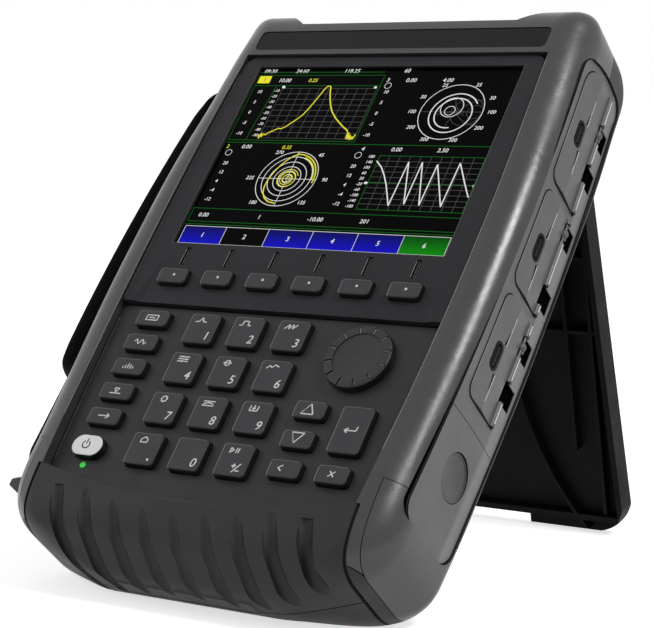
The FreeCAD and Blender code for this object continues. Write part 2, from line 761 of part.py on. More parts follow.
def front_housing():
    """Chassis: a tub with a front wall, open at the back and right, with the battery bay at its foot."""
    shell = chassis_shell()
    wall = shell.common(right_wall_space())
    shelf_low, left = bay_front_face + bay_gap, battery_right() - battery_length - bay_gap
    right = side_at(bay_foot, side_plate + chassis_wall / 2)
    shelf = block(left, right, bay_foot - bay_wall, bay_top + bay_wall, shelf_low, shelf_low + bay_wall)
    ceiling = block(left, right, bay_top, bay_top + bay_wall, chassis_back, shelf_low)
    ground = block(left, right, bay_foot - bay_wall, bay_foot, chassis_back, shelf_low)
    end = block(left - bay_wall, left, bay_foot - bay_wall, bay_top + bay_wall, chassis_back,
                shelf_low + bay_wall)
    inside = chassis_block(-chassis_wall / 2, chassis_back, chassis_front)
    body = shell.cut(right_wall_space())
    body = body.fuse([piece.common(inside).cut(wall) for piece in (shelf, ceiling, ground, end)])
    grow = 2 * (window_lap + module_lap + module_room)
    cuts = [plate(0, display_height / 2, display_width + grow, display_height + grow, window_corner,
                  chassis_front - 5, 5)]
    for _, u, v, width, height, corner, _, front in key_layout():
        cuts.append(flange_space(u, v, width, height, corner, chassis_front - 5, chassis_front + 5))
    bush_hole = shaft_radius + bush_wall + bush_gap
    cuts.append(rod(bush_hole, 20, V(knob_column, knob_row, chassis_front - 10), AXIS_Z))
    cuts.append(rod(light_radius + light_gap, 20, V(power_column, light_row, chassis_front - 10), AXIS_Z))
    cuts.append(latch_space())
    for u in (-port_spacing / 2, port_spacing / 2):
        cuts.append(rod(port_thread_radius + port_gap, 20, V(u, chassis_top - 10, port_depth), AXIS_Y))
    for place in screw_places():
        cuts.append(rod(screw_shank, 20, place, AXIS_Z))
    for height in anchor_heights():
        cuts.append(anchor_block(height, anchor_gap))
    body = body.cut(cuts)
    posts = []
    for place in screw_places():
        base = V(place.x, place.y, chassis_back)
        post = rod(screw_shank + post_wall, chassis_front - chassis_wall - chassis_back, base, AXIS_Z)
        posts.append(post.cut(rod(screw_shank, screw_length + screw_sink, base, AXIS_Z)))
    return body.fuse(posts).removeSplitter()


# ================================================================ front panels
def soft_key_channel():
    """The soft-key area dips from the display toward the step, with slanted ends."""
    high, low = bezel_front, bezel_front - channel_depth
    head = [V(-channel_top_half, channel_top, high), V(channel_top_half, channel_top, high)]
    rim = [V(channel_foot_half, step_height - 1, high), V(-channel_foot_half, step_height - 1, high)]
    floor = [V(channel_foot_half - channel_end, step_height - 1, low),
             V(channel_end - channel_foot_half, step_height - 1, low)]
    faces = [head + rim, head + floor, [head[1], rim[0], floor[0]], [head[0], rim[1], floor[1]],
             rim + floor[::-1]]
    shell = Part.makeShell([Part.Face(Part.makePolygon(points + points[:1])) for points in faces])
    return Part.makeSolid(shell)


def display_bezel():
    """Frame around the display, with the windows of the soft keys along its foot."""
    outline = panel_outline(groove, ear_start - groove, (step_height, step_height))
    slab = outline.common(block(-reach, reach, -reach, reach, chassis_front, bezel_front))
    slab = slab.makeFillet(bezel_corner, [e for e in edges_along(slab, AXIS_Z) if e.BoundBox.YMin > 0])
    room = outline.common(block(-reach, reach, step_height + panel_wall, ear_start - groove - panel_wall,
                                chassis_front - 1, bezel_front - bezel_plate))
    side_walls = panel_outline(groove + panel_wall, ear_start - groove, (step_height, step_height))
    slab = slab.cut(room.common(side_walls))
    cuts = [plate(0, display_height / 2, display_width, display_height, display_corner, -10, 10)]
    for _, u, v, width, height, corner, _, front in key_layout():
        if front == bezel_front:
            cuts.append(key_window(u, v, width, height, corner, front))
            cuts.append(plate(u, pointer_height, pointer_width, pointer_length, pointer_width / 2 - 0.01,
                              bezel_front - pointer_depth, reach))
    return slab.cut(cuts + [soft_key_channel()])


def window_front():
    return bezel_front - bezel_plate


def display_window():
    grow = 2 * window_lap
    return plate(0, display_height / 2, display_width + grow, display_height + grow, window_corner,
                 window_front() - window_thick, window_front())


def display_module():
    grow = 2 * (window_lap + module_lap)
    back = window_front() - window_thick
    return plate(0, display_height / 2, display_width + grow, display_height + grow, module_corner,
                 back - module_thick, back)


def name_strip():
    """Bare glossy bar above the display."""
    width, height = strip_width - 2 * name_gap, strip_height - 2 * name_gap
    corner = strip_corner - name_gap
    return plate(0, strip_centre, width, height, corner, strip_front - strip_depth, strip_front)


def keypad_panel():
    """Recessed plate that carries the keys, the knob and the power button."""
    top = step_height - groove
    outline = panel_outline(groove, top, (keypad_arc_side, keypad_arc_mid))
    slab = outline.common(block(-reach, reach, -reach, reach, chassis_front, keypad_front))
    room = panel_outline(groove + panel_wall, top - panel_wall, (keypad_arc_side, keypad_arc_mid))
    room = room.common(block(-reach, reach, -reach, reach, chassis_front - 1, keypad_front - keypad_plate))
    slab = slab.cut(room)
    cuts = [rod(shaft_radius + shaft_room, 20, V(knob_column, knob_row, -10), AXIS_Z),
            rod(light_radius + light_gap, 20, V(power_column, light_row, -10), AXIS_Z)]
    for _, u, v, width, height, corner, _, front in key_layout():
        if front == keypad_front:
            cuts.append(key_window(u, v, width, height, corner, front))
    return slab.cut(cuts)


def status_light():
    """Small green light below the power button, standing on the key mat."""
    foot = mat_front()
    return rod(light_radius, keypad_front + light_proud - foot, V(power_column, light_row, foot), AXIS_Z)


def mat_front():
    """Front face of the key mat, against the back of the chassis front wall."""
    return chassis_front - chassis_wall


def key_mat():
    """Rubber sheet behind the keys, with a low dome under each one."""
    sheet = block(-mat_half_width, mat_half_width, keypad_arc_side + mat_inset, step_height - 2 * mat_inset,
                  mat_front() - mat_thick, mat_front())
    domes = []
    back = mat_front() - mat_thick
    for _, u, v, _, _, _, _, front in key_layout():
        if front == keypad_front:
            tip = flange_levels(front)[1] - key_travel - mat_gap
            domes.append(rod(mat_dome, tip - back, V(u, v, back), AXIS_Z))
    sheet = sheet.fuse(domes)
    hole = rod(mat_hole * encoder_size, 20, V(knob_column, knob_row, mat_front() - 10), AXIS_Z)
    return sheet.cut(hole).removeSplitter()


# ================================================================ knob
def tuning_knob():
    """Low knob with a dished top and short finger notches, on its turning shaft."""
    base = keypad_front + knob_lift
    top = keypad_front + knob_rise
    middle = V(knob_column, knob_row, base)
    body = Part.makeCone(knob_radius + knob_flare, knob_radius, top - base, middle, AXIS_Z)
    body = body.makeFillet(knob_edge, edges_at(body, AXIS_Z, top))
    dish_radius = (knob_radius ** 2 + knob_dish ** 2) / (2 * knob_dish)
    dish = Part.makeSphere(dish_radius, V(knob_column, knob_row, top + dish_radius - knob_dish))
    dish = dish.common(rod(knob_radius - knob_rim, 20, V(knob_column, knob_row, top - 5), AXIS_Z))
    notches = []
    for i in range(knob_notches):
        notch = block(knob_radius - notch_reach_in, 2 * knob_radius, -notch_width / 2, notch_width / 2,
                      top - notch_depth, top + 1)
        notch = notch.makeFillet(notch_width / 2 - 0.02, [e for e in edges_along(notch, AXIS_Z)
                                                          if e.BoundBox.XMax < knob_radius])
        notch.rotate(V(0, 0, 0), AXIS_Z, 360.0 * (i + 0.5) / knob_notches)
        notch.translate(V(knob_column, knob_row, 0))
        notches.append(notch)
    shaft = rod(shaft_radius, shaft_length, V(knob_column, knob_row, base - shaft_length), AXIS_Z)
    return body.cut([dish] + notches).fuse(shaft).removeSplitter()


def knob_encoder():
    """Encoder behind the panel, with the bushing that the knob's shaft turns in."""
    front = chassis_front - chassis_wall
    back = front - encoder_depth
    bush = rod(shaft_radius + bush_wall, encoder_depth + chassis_wall, V(knob_column, knob_row, back), AXIS_Z)
    can = plate(knob_column, knob_row, encoder_size, encoder_size, encoder_corner, back, front)
    bore = rod(shaft_radius + running_gap, 30, V(knob_column, knob_row, back + bush_floor), AXIS_Z)
    return can.fuse(bush).cut(bore).removeSplitter()


# ================================================================ side panels and doors
def door_outline(index, grow, u0, u1):
    """A door's region in the side face: straight, with two rounded front corners."""
    top, foot = door_tops[index] + grow, door_feet[index] - grow
    rear, front = door_hinge - bead_radius - grow, door_front + grow
    body = block(u0, u1, foot, top, rear, front)
    corners = [e for e in edges_along(body, AXIS_X) if e.BoundBox.ZMin > front - 0.01]
    upper = [e for e in corners if e.BoundBox.YMin > top - 0.01]
    body = body.makeFillet(door_rounds[index] + grow, upper)
    corners = [e for e in edges_along(body, AXIS_X) if e.BoundBox.ZMin > front - 0.01]
    return body.makeFillet(door_corner + grow, [e for e in corners if e.BoundBox.YMax < foot + 0.01])


def door_middle(index):
    return (door_tops[index] + door_feet[index]) / 2


def battery_side(gap):
    """Everything below the curved seam between the side panel and the battery door."""
    seam_at = battery_seam - gap
    u0, u1 = inside_u, reach
    ring = [arc((u0, seam_at, 10), (u0, seam_at + battery_seam_bow, -22), (u0, seam_at, -60)),
            line((u0, seam_at, -60), (u0, -reach, -60)),
            line((u0, -reach, -60), (u0, -reach, 10)),
            line((u0, -reach, 10), (u0, seam_at, 10))]
    return prism(ring, V(u1 - u0, 0, 0))


def side_inlay():
    """One whole side inlay, before the battery door is taken out of it."""
    shell = between_sides(0.0).cut(between_sides(side_plate))
    return inlay_prism(0.0, inside_u, reach).common(shell)


def right_side_panel():
    """Side panel with three door openings and the fixed knuckles of their hinges."""
    body = side_inlay().cut(battery_side(-seam))
    bores = []
    for index in range(len(door_tops)):
        middle, inner = door_middle(index), side_face - side_plate - 1
        opening = door_outline(index, door_gap, inner, side_face + 10)
        notches = [block(side_face - notch_depth_side, side_face + 10, place - notch_length / 2,
                         place + notch_length / 2, door_hinge - notch_reach, door_hinge)
                   for place in hinge_places[index]]
        body = body.cut([seated(piece, middle) for piece in [opening] + notches])
        place = hinge_places[index][0]
        rear = door_hinge - bead_radius - door_gap
        tongue = block(side_face - side_plate + knuckle_lift, side_face, place - knuckle_length / 2,
                       place + knuckle_length / 2, rear - 1, door_hinge)
        eye = Part.makeSphere(knuckle_ball, V(side_face, place, door_hinge), AXIS_Y)
        body = body.fuse([seated(piece, middle) for piece in (tongue, eye)])
        bore = rod(hinge_pin_radius + running_gap, notch_length,
                   V(side_face, place - notch_length / 2, door_hinge), AXIS_Y)
        bores.append(seated(bore, middle))
    return body.removeSplitter().cut(bores)


def port_door(index):
    """A creased door with a finger pull, and a round bead along its hinge edge."""
    top, foot = door_tops[index], door_feet[index]
    inner, crown = side_face - door_thick, side_face + door_crown
    crease = (door_front + door_hinge) / 2
    slab = door_outline(index, 0.0, inner, crown)
    slab = slab.cut(block(inner - 5, reach, foot - 1, top + 1, door_hinge - 20, door_hinge))
    profile = [(inner, foot - 1, door_front + 1), (side_face, foot - 1, door_front + 1),
               (side_face, foot - 1, door_front), (crown, foot - 1, crease),
               (side_face, foot - 1, door_hinge), (inner, foot - 1, door_hinge)]
    roof = prism([line(a, b) for a, b in zip(profile, profile[1:] + profile[:1])], V(0, top - foot + 2, 0))
    bead = rod(bead_radius, top - foot, V(side_face, foot, door_hinge), AXIS_Y)
    slab = slab.common(roof).fuse(bead)
    cuts = [block(inner - 5, reach, place - notch_length / 2, place + notch_length / 2, door_hinge - 10,
                  door_hinge + bead_radius + door_gap) for place in hinge_places[index]]
    cuts.append(plate_in_side(crease + pull_offset, (top + foot) / 2 - pull_drop, pull_width, pull_length,
                              crown - pull_sink))
    bore = rod(hinge_pin_radius + running_gap, top - foot, V(side_face, foot, door_hinge), AXIS_Y)
    return seated(slab.cut(cuts + [bore]).removeSplitter(), door_middle(index))


def plate_in_side(w, v, width, length, depth_at):
    """A long slot cut into the side face from a depth outwards."""
    body = block(depth_at, reach, v - length / 2, v + length / 2, w - width / 2, w + width / 2)
    return body.makeFillet(width / 2 - 0.05, edges_along(body, AXIS_X))


def hinge_pins():
    """The stand's long pin, and a short pin through the upper notch of each door's hinge."""
    half = boss_place + boss_width / 2
    pins = [rod(stand_pin_radius, 2 * half, V(-half, stand_axis_height, stand_axis_depth), AXIS_X)]
    for index in range(len(door_tops)):
        length = notch_length + pin_hold + pin_tip
        start = V(side_face, hinge_places[index][0] - notch_length / 2 - pin_hold, door_hinge)
        pins.append(seated(rod(hinge_pin_radius, length, start, AXIS_Y), door_middle(index)))
    return Part.makeCompound(pins)


def latch_centre(u):
    return V(u, latch_height, latch_depth)


def latch_seat():
    """Where the latch's flange ends, just inside the battery door at the door's lowest reach."""
    return side_at(latch_height - latch_radius - latch_flange, side_plate) - rub


def battery_door():
    """Door over the battery bay, with a hole for its latch button."""
    body = side_inlay().common(battery_side(0.0))
    return body.cut(rod(latch_radius + latch_gap, 40, latch_centre(inside_u), AXIS_X))


def battery_latch():
    """Round dished button in the battery door, with a flange behind it."""
    face = side_at(latch_height) - latch_sink
    inner = latch_seat()
    body = rod(latch_radius, face - inner, latch_centre(inner), AXIS_X)
    flange = rod(latch_radius + latch_flange, latch_flange, latch_centre(inner - latch_flange), AXIS_X)
    dish_radius = (latch_radius ** 2 + latch_dish ** 2) / (2 * latch_dish)
    dish = Part.makeSphere(dish_radius, latch_centre(face + dish_radius - latch_dish))
    dish = dish.common(rod(latch_radius - latch_rim, 20, latch_centre(face - 5), AXIS_X))
    return body.fuse(flange).cut(dish)


def left_side_panel():
    """Side panel behind the hand strap, with the slots of the strap's anchors."""
    body = side_inlay().mirror(V(0, 0, 0), AXIS_X)
    return body.cut([anchor_block(height, anchor_gap) for height in anchor_heights()])


# ================================================================ inside
def battery_right():
    """Right end of the battery, with room for the latch button's travel."""
    return latch_seat() - latch_flange - latch_travel - latch_room


def battery_pack():
    """Battery in its bay across the foot of the chassis."""
    right, back = battery_right(), chassis_back + battery_cushion
    body = block(right - battery_length, right, bay_foot + bay_gap, bay_top - bay_gap,
                 back, back + battery_thick)
    return body.makeFillet(battery_corner, edges_along(body, AXIS_X))


def main_board():
    """Circuit board behind the display and the encoder, with its radio shield."""
    board = block(-board_half_width, board_half_width, board_foot, board_top,
                  board_front - board_thick, board_front)
    hole = rod(board_hole, 10, V(knob_column, knob_row, board_front - 5), AXIS_Z)
    clear = screw_shank + post_wall + post_room
    posts = [rod(clear, 30, V(place.x, place.y, board_front - 10), AXIS_Z) for place in screw_places()]
    return Part.makeCompound([board.cut([hole] + posts), radio_shield()])


def radio_shield():
    """Shielded radio section on the back of the main board."""
    front = board_front - board_thick
    return plate(0, radio_centre, radio_width, radio_height, radio_corner, front - radio_thick, front)


def test_ports():
    """Two threaded coaxial ports on the top wall, each a nut flange, a barrel and a centre pin."""
    solids = []
    for u in (-port_spacing / 2, port_spacing / 2):
        base = V(u, chassis_top, port_depth)
        flange = rod(port_flange, port_flange_thick, base, AXIS_Y)
        barrel = rod(port_thread_radius, port_hold + port_flange_thick + port_length,
                     base - V(0, port_hold, 0), AXIS_Y)
        well_foot = base + V(0, port_flange_thick + port_floor, 0)
        well = rod(port_bore, port_length - port_floor, well_foot, AXIS_Y)
        contact = rod(port_contact, port_length - port_floor - 1, well_foot - V(0, 1, 0), AXIS_Y)
        solids.append(flange.fuse(barrel).cut(well).fuse(contact).removeSplitter())
    return Part.makeCompound(solids)


def side_sockets():
    """Sockets behind the port doors, standing on the edge of the main board."""
    solids = []
    face, front = board_half_width + socket_overhang, board_front - board_thick
    for index in range(len(door_tops)):
        for offset, length, depth in socket_places:
            place, back = door_middle(index) + offset, front - socket_lift - depth
            half, middle = length / 2, (back + front) / 2
            shell = block(face - socket_length, face, place - half, place + half, back, front)
            half -= socket_wall
            well = block(face - socket_length / 2, reach, place - half, place + half,
                         back + socket_wall, front - socket_wall)
            half = length / 2 - socket_tongue
            tongue = block(face - 0.6 * socket_length, face - 0.15 * socket_length, place - half,
                           place + half, middle - socket_wall, middle + socket_wall)
            solids.append(shell.cut(well).fuse(tongue).removeSplitter())
    return Part.makeCompound(solids)


# ================================================================ hand strap
def anchor_front():
    return strap_front - anchor_inset


def anchor_back():
    return strap_front - strap_width + anchor_inset


def anchor_heights():
    return (strap_top - strap_thick / 2, strap_foot + strap_thick / 2)


def anchor_block(height, grow):
    """One strap anchor, or with a little growth the slot it sits in."""
    inner = side_at(height, side_plate + chassis_wall) - anchor_depth
    return block(-side_at(height) - anchor_proud, -inner + grow, height - anchor_length / 2 - grow,
                 height + anchor_length / 2 + grow, anchor_back() - grow, anchor_front() + grow)


def strap_block(depth):
    """The strap's outer form, or what lies inside it at a depth of its thickness."""
    radius, w = strap_bow - depth, strap_front - strap_width
    top, foot = strap_top - depth, strap_foot + depth
    places = [(strap_bow - strap_reach - math.sqrt(radius ** 2 - (v - bow_centre) ** 2), v, w)
              for v in (foot, (foot + top) / 2, top)]
    ring = [arc(*places), line(places[2], (-inside_u, top, w)),
            line((-inside_u, top, w), (-inside_u, foot, w)), line((-inside_u, foot, w), places[0])]
    body = prism(ring, V(0, 0, strap_width))
    corners = [e for e in edges_along(body, AXIS_Z) if e.BoundBox.XMax < -inside_u - 1]
    return body.makeFillet(strap_bend - depth, corners)


def hand_strap():
    """Padded band that stands off the left side, with its two ends turned in to the case."""
    return strap_block(0.0).cut([strap_block(strap_thick), between_sides(-anchor_proud - strap_gap)])


def strap_lug():
    """Pointed lug on the lower left corner, for a shoulder strap."""
    high, low, w = lug_height + lug_half_length, lug_height - lug_half_length, lug_front - lug_width
    corners = [(-inside_u, high, w), (-lug_reach, lug_height + lug_tip_half, w),
               (-lug_reach, lug_height - lug_tip_half, w), (-inside_u, low - lug_slope, w)]
    sides = [line(a, b) for a, b in zip(corners, corners[1:] + corners[:1])]
    return prism(sides, V(0, 0, lug_width)).cut(outer)


def strap_anchors():
    """Two plates that hold the strap's ends, and the lug."""
    return Part.makeCompound([anchor_block(height, 0.0) for height in anchor_heights()] + [strap_lug()])


# ================================================================ kickstand
def stand_length():
    """From the hinge to the floor along the opened stand."""
    lean = math.radians(lean_deg)
    drop = stand_axis_height * math.cos(lean) + stand_axis_depth * math.sin(lean) - floor_level
    return drop / math.cos(math.radians(stand_open_deg - lean_deg))


def stand_outline(inset, front, back):
    """The stand's folded outline: slightly flared, with round feet and a shallow notch between."""
    top_v = stand_axis_height
    foot_v = stand_axis_height - stand_length() - stand_depth
    top_half, foot_half = stand_top_half - inset, stand_foot_half - inset
    ring = [
        line((-top_half, top_v, back), (top_half, top_v, back)),
        line((top_half, top_v, back), (foot_half, foot_v + inset, back)),
        line((foot_half, foot_v + inset, back), (-foot_half, foot_v + inset, back)),
        line((-foot_half, foot_v + inset, back), (-top_half, top_v, back)),
    ]
    return prism(ring, V(0, 0, front - back))


def kickstand_folded():
    """The stand lying against the case back: a ribbed tray with a hinge eye along its top."""
    front = case_back - stand_gap
    back = front - stand_depth
    foot_v = stand_axis_height - stand_length()
    deep, crest = back + stand_skin, front - stand_rib_drop
    body = stand_outline(0.0, front, back)
    shelf = foot_v + stand_notch + stand_shelf
    tray = stand_outline(stand_flange, front, deep)
    tray = tray.cut(block(-reach, reach, shelf, shelf + stand_flange, -reach, crest))
    ribs = []
    for drop in stand_cross_rows:
        height = stand_axis_height - drop
        ribs.append(block(-stand_foot_half, stand_foot_half, height, height + stand_rib, deep, crest))
    bow_top = stand_axis_height - max(stand_cross_rows)
    for sign in (-1, 1):
        for place, low in stand_long_ribs:
            left = sign * place - stand_rib / 2
            ribs.append(block(left, left + stand_rib, foot_v + low, stand_axis_height - stand_rib_top,
                              deep, crest))
        centre = V(sign * stand_bow_middle, stand_axis_height - stand_bow_drop, deep)
        bow = rod(stand_bow_radius, crest - deep, centre, AXIS_Z)
        bow = bow.cut(rod(stand_bow_radius - stand_rib, crest - deep, centre, AXIS_Z))
        ends = sorted((0, sign * stand_bow_reach))
        ribs.append(bow.common(block(*ends, foot_v + stand_shelf, bow_top, deep, crest)))
    body = body.cut(tray.cut(ribs))
    body = body.cut(block(-stand_notch_half, stand_notch_half, foot_v - 2 * stand_depth, foot_v + stand_notch,
                          -reach, reach))
    eye_end = V(-stand_top_half, stand_axis_height, stand_axis_depth)
    eye = rod(stand_eye_radius, 2 * stand_top_half, eye_end, AXIS_X)
    body = body.cut(block(-reach, reach, stand_axis_height, reach, -reach, reach)).fuse(eye)
    feet_cut = []
    for sign in (-1, 1):
        corner = block(0, 2 * stand_corner, -2 * stand_corner, 0, back - 1, front + 1)
        disc = rod(stand_corner, stand_depth + 2, V(0, 0, back - 1), AXIS_Z)
        wedge = corner.cut(disc)
        wedge = wedge.mirror(V(0, 0, 0), AXIS_X) if sign < 0 else wedge
        wedge.translate(V(sign * (stand_foot_half - stand_corner - stand_corner_side),
                          foot_v + stand_corner - stand_corner_foot, 0))
        feet_cut.append(wedge)
    gaps = []
    for place in (-boss_place, boss_place):
        half = boss_width / 2 + boss_gap
        gaps.append(block(place - half, place + half, stand_axis_height - stand_eye_radius - eye_room,
                          reach, -reach, reach))
    bore = rod(stand_pin_radius + running_gap, 2 * reach, eye_end - V(reach, 0, 0), AXIS_X)
    return body.cut(feet_cut + gaps + [bore]).removeSplitter()


def kickstand():
    """The stand swung open about its pin."""
    body = kickstand_folded()
    body.rotate(V(0, stand_axis_height, stand_axis_depth), AXIS_X, stand_open_deg)
    return body


# ================================================================ placing and writing
def leaned(shape):
    """A piece turned from the analyzer's own frame to the leaning one."""
    copy = shape.copy()
    copy.rotate(V(0, 0, 0), AXIS_X, 90 - lean_deg)
    return copy


boot = bottom_boot()
floor_level = min(point.z for point in leaned(boot).tessellate(0.1)[0]) + floor_flat
floor_cut = block(-reach, reach, -2 * reach, 2 * reach, floor_level - reach, floor_level)
rest_faces = [f for f in leaned(boot).cut(floor_cut).Faces if abs(f.CenterOfMass.z - floor_level) < 0.001]
shift = V(0, -rest_faces[0].CenterOfMass.y, -floor_level)


def save(name, shape):
    """Lean the piece back, flatten it where it meets the floor, and write it."""
    placed = leaned(shape)
    if placed.BoundBox.ZMin < floor_level:
        placed = placed.cut(floor_cut)
    placed.translate(shift)
    solids = placed.Solids
    whole = solids[0] if len(solids) == 1 else Part.makeCompound(solids)
    whole.exportStep("parts/%s.step" % name)
    print("%-18s solids %2d volume %9.1f valid %s" % (name, len(solids), whole.Volume, whole.isValid()))


pieces = [
    ("guard_frame", guard_frame), ("rear_housing", rear_housing), ("housing_screws", housing_screws),
    ("front_housing", front_housing), ("display_bezel", display_bezel), ("display_window", display_window),
    ("display_module", display_module), ("name_strip", name_strip), ("keypad_panel", keypad_panel),
    ("status_light", status_light), ("key_mat", key_mat), ("tuning_knob", tuning_knob),
    ("knob_encoder", knob_encoder), ("right_side_panel", right_side_panel), ("battery_door", battery_door),
    ("battery_latch", battery_latch), ("left_side_panel", left_side_panel), ("hinge_pins", hinge_pins),
    ("battery_pack", battery_pack), ("main_board", main_board), ("port_wall", port_wall),
    ("test_ports", test_ports), ("side_sockets", side_sockets), ("hand_strap", hand_strap),
    ("strap_anchors", strap_anchors), ("kickstand", kickstand),
]
save("bottom_boot", boot)
save("corner_guards", Part.makeCompound(both_sides(corner_guard())))
for name, maker in pieces:
    save(name, maker())
for index in range(len(door_tops)):
    save("port_door_%d" % (index + 1), port_door(index))
for name, u, v, width, height, corner, rise, front in key_layout():
    save(name, key_solid(u, v, width, height, corner, rise, front))
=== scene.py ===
"""Handheld antenna analyzer on its kickstand: finishes, lit picture, key marks, finger pulls and hand strap.

Everything is made in the case's own frame, U to the right of the display, V up along the case and
W out of the display, and is then leaned into place. Sizes are in millimetres until they are placed.
"""
import bpy
import math
from mathutils import Matrix, Vector


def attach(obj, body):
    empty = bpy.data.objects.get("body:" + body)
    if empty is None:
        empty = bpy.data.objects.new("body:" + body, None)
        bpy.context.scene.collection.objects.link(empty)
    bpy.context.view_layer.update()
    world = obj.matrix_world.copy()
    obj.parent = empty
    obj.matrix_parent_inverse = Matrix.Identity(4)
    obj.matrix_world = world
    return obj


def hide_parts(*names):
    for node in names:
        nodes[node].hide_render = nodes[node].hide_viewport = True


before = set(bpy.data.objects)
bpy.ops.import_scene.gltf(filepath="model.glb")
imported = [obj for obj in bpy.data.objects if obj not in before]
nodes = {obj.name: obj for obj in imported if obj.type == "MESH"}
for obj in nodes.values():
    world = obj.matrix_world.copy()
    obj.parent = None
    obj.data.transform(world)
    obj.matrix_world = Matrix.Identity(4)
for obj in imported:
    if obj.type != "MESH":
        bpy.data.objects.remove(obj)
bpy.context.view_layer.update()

MM = 0.001
LEAN = math.radians(48.9)
CASE = Matrix.Translation((0, 0.0585786, 0.1343709)) @ Matrix.Rotation(LEAN, 4, "X") @ Matrix.Scale(MM, 4)
ACROSS, UP, OUT = (Vector(CASE.col[i][:3]).normalized() for i in range(3))
CASE_UP, CASE_OUT = (-1000 * axis.dot(CASE.translation) for axis in (UP, OUT))

# the sides bow along V round a centre, and the doors are (number, top, foot)
SIDE_FACE, SIDE_BOW, BOW_CENTRE = 91.6, 2294.0, -15.0
DOORS = ((1, 112.6, 51.4), (2, 46.6, 0.0), (3, -5.0, -53.0))
DOOR_FRONT, DOOR_PULL, DOOR_CREASE, DOOR_HINGE, DOOR_CROWN = -11.6, -20.05, -23.65, -35.7, 0.9
SEAM_FRONT = -10.0

# heights of the fronts above the case's own front plane
WINDOW_FRONT, BEZEL_FRONT = -0.8, 0.8
KEY_TOP, SOFT_KEY_TOP, POWER_TOP = 1.0, 3.0, 1.4
INK_LIFT = 0.03
KEY_INK = KEY_TOP + INK_LIFT
SOFT_KEYS, SOFT_KEY_ROW = [22.5 * (index - 2.5) for index in range(6)], -18.2
KNOB_AT = (47.4, -49.8)


# ---------------------------------------------------------------- hands
def pick(*pieces):
    """Selects these pieces alone, the first one active."""
    bpy.ops.object.select_all(action="DESELECT")
    for piece in pieces:
        piece.select_set(True)
    bpy.context.view_layer.objects.active = pieces[0]


def set_in(piece, place=CASE):
    """Puts a piece where its own frame belongs and leaves its object unturned at the origin."""
    piece.matrix_world = place @ piece.matrix_world
    pick(piece)
    bpy.ops.object.transform_apply(location=True, rotation=True, scale=True)
    return piece


def gather(name, pieces):
    """Joins loose pieces into one."""
    pick(*pieces)
    if len(pieces) > 1:
        bpy.ops.object.join()
    whole = bpy.context.object
    whole.name = whole.data.name = name
    return whole


def dress(piece, finish, body):
    """Leans a piece into place and gives it its finish and the body it rides on."""
    piece.data.materials.clear()
    piece.data.materials.append(finish)
    set_in(piece)
    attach(piece, body)


def tint(red, green=None, blue=None):
    """A colour from its 0..255 screen values."""
    green, blue = (red if green is None else green), (red if blue is None else blue)
    return tuple(((c / 255 + 0.055) / 1.055) ** 2.4 if c > 10 else c / 3294.6
                 for c in (red, green, blue)) + (1,)


# ---------------------------------------------------------------- finishes
DOT_PITCH, CELL_SHADE, THREAD_PITCH = 0.24, (1.0, 10.4), 1.06
# depths (w) over which the painted highlight behind the hinges fades in
PAINTED_HIGHLIGHT_EDGE = (-39.5, -37.0)


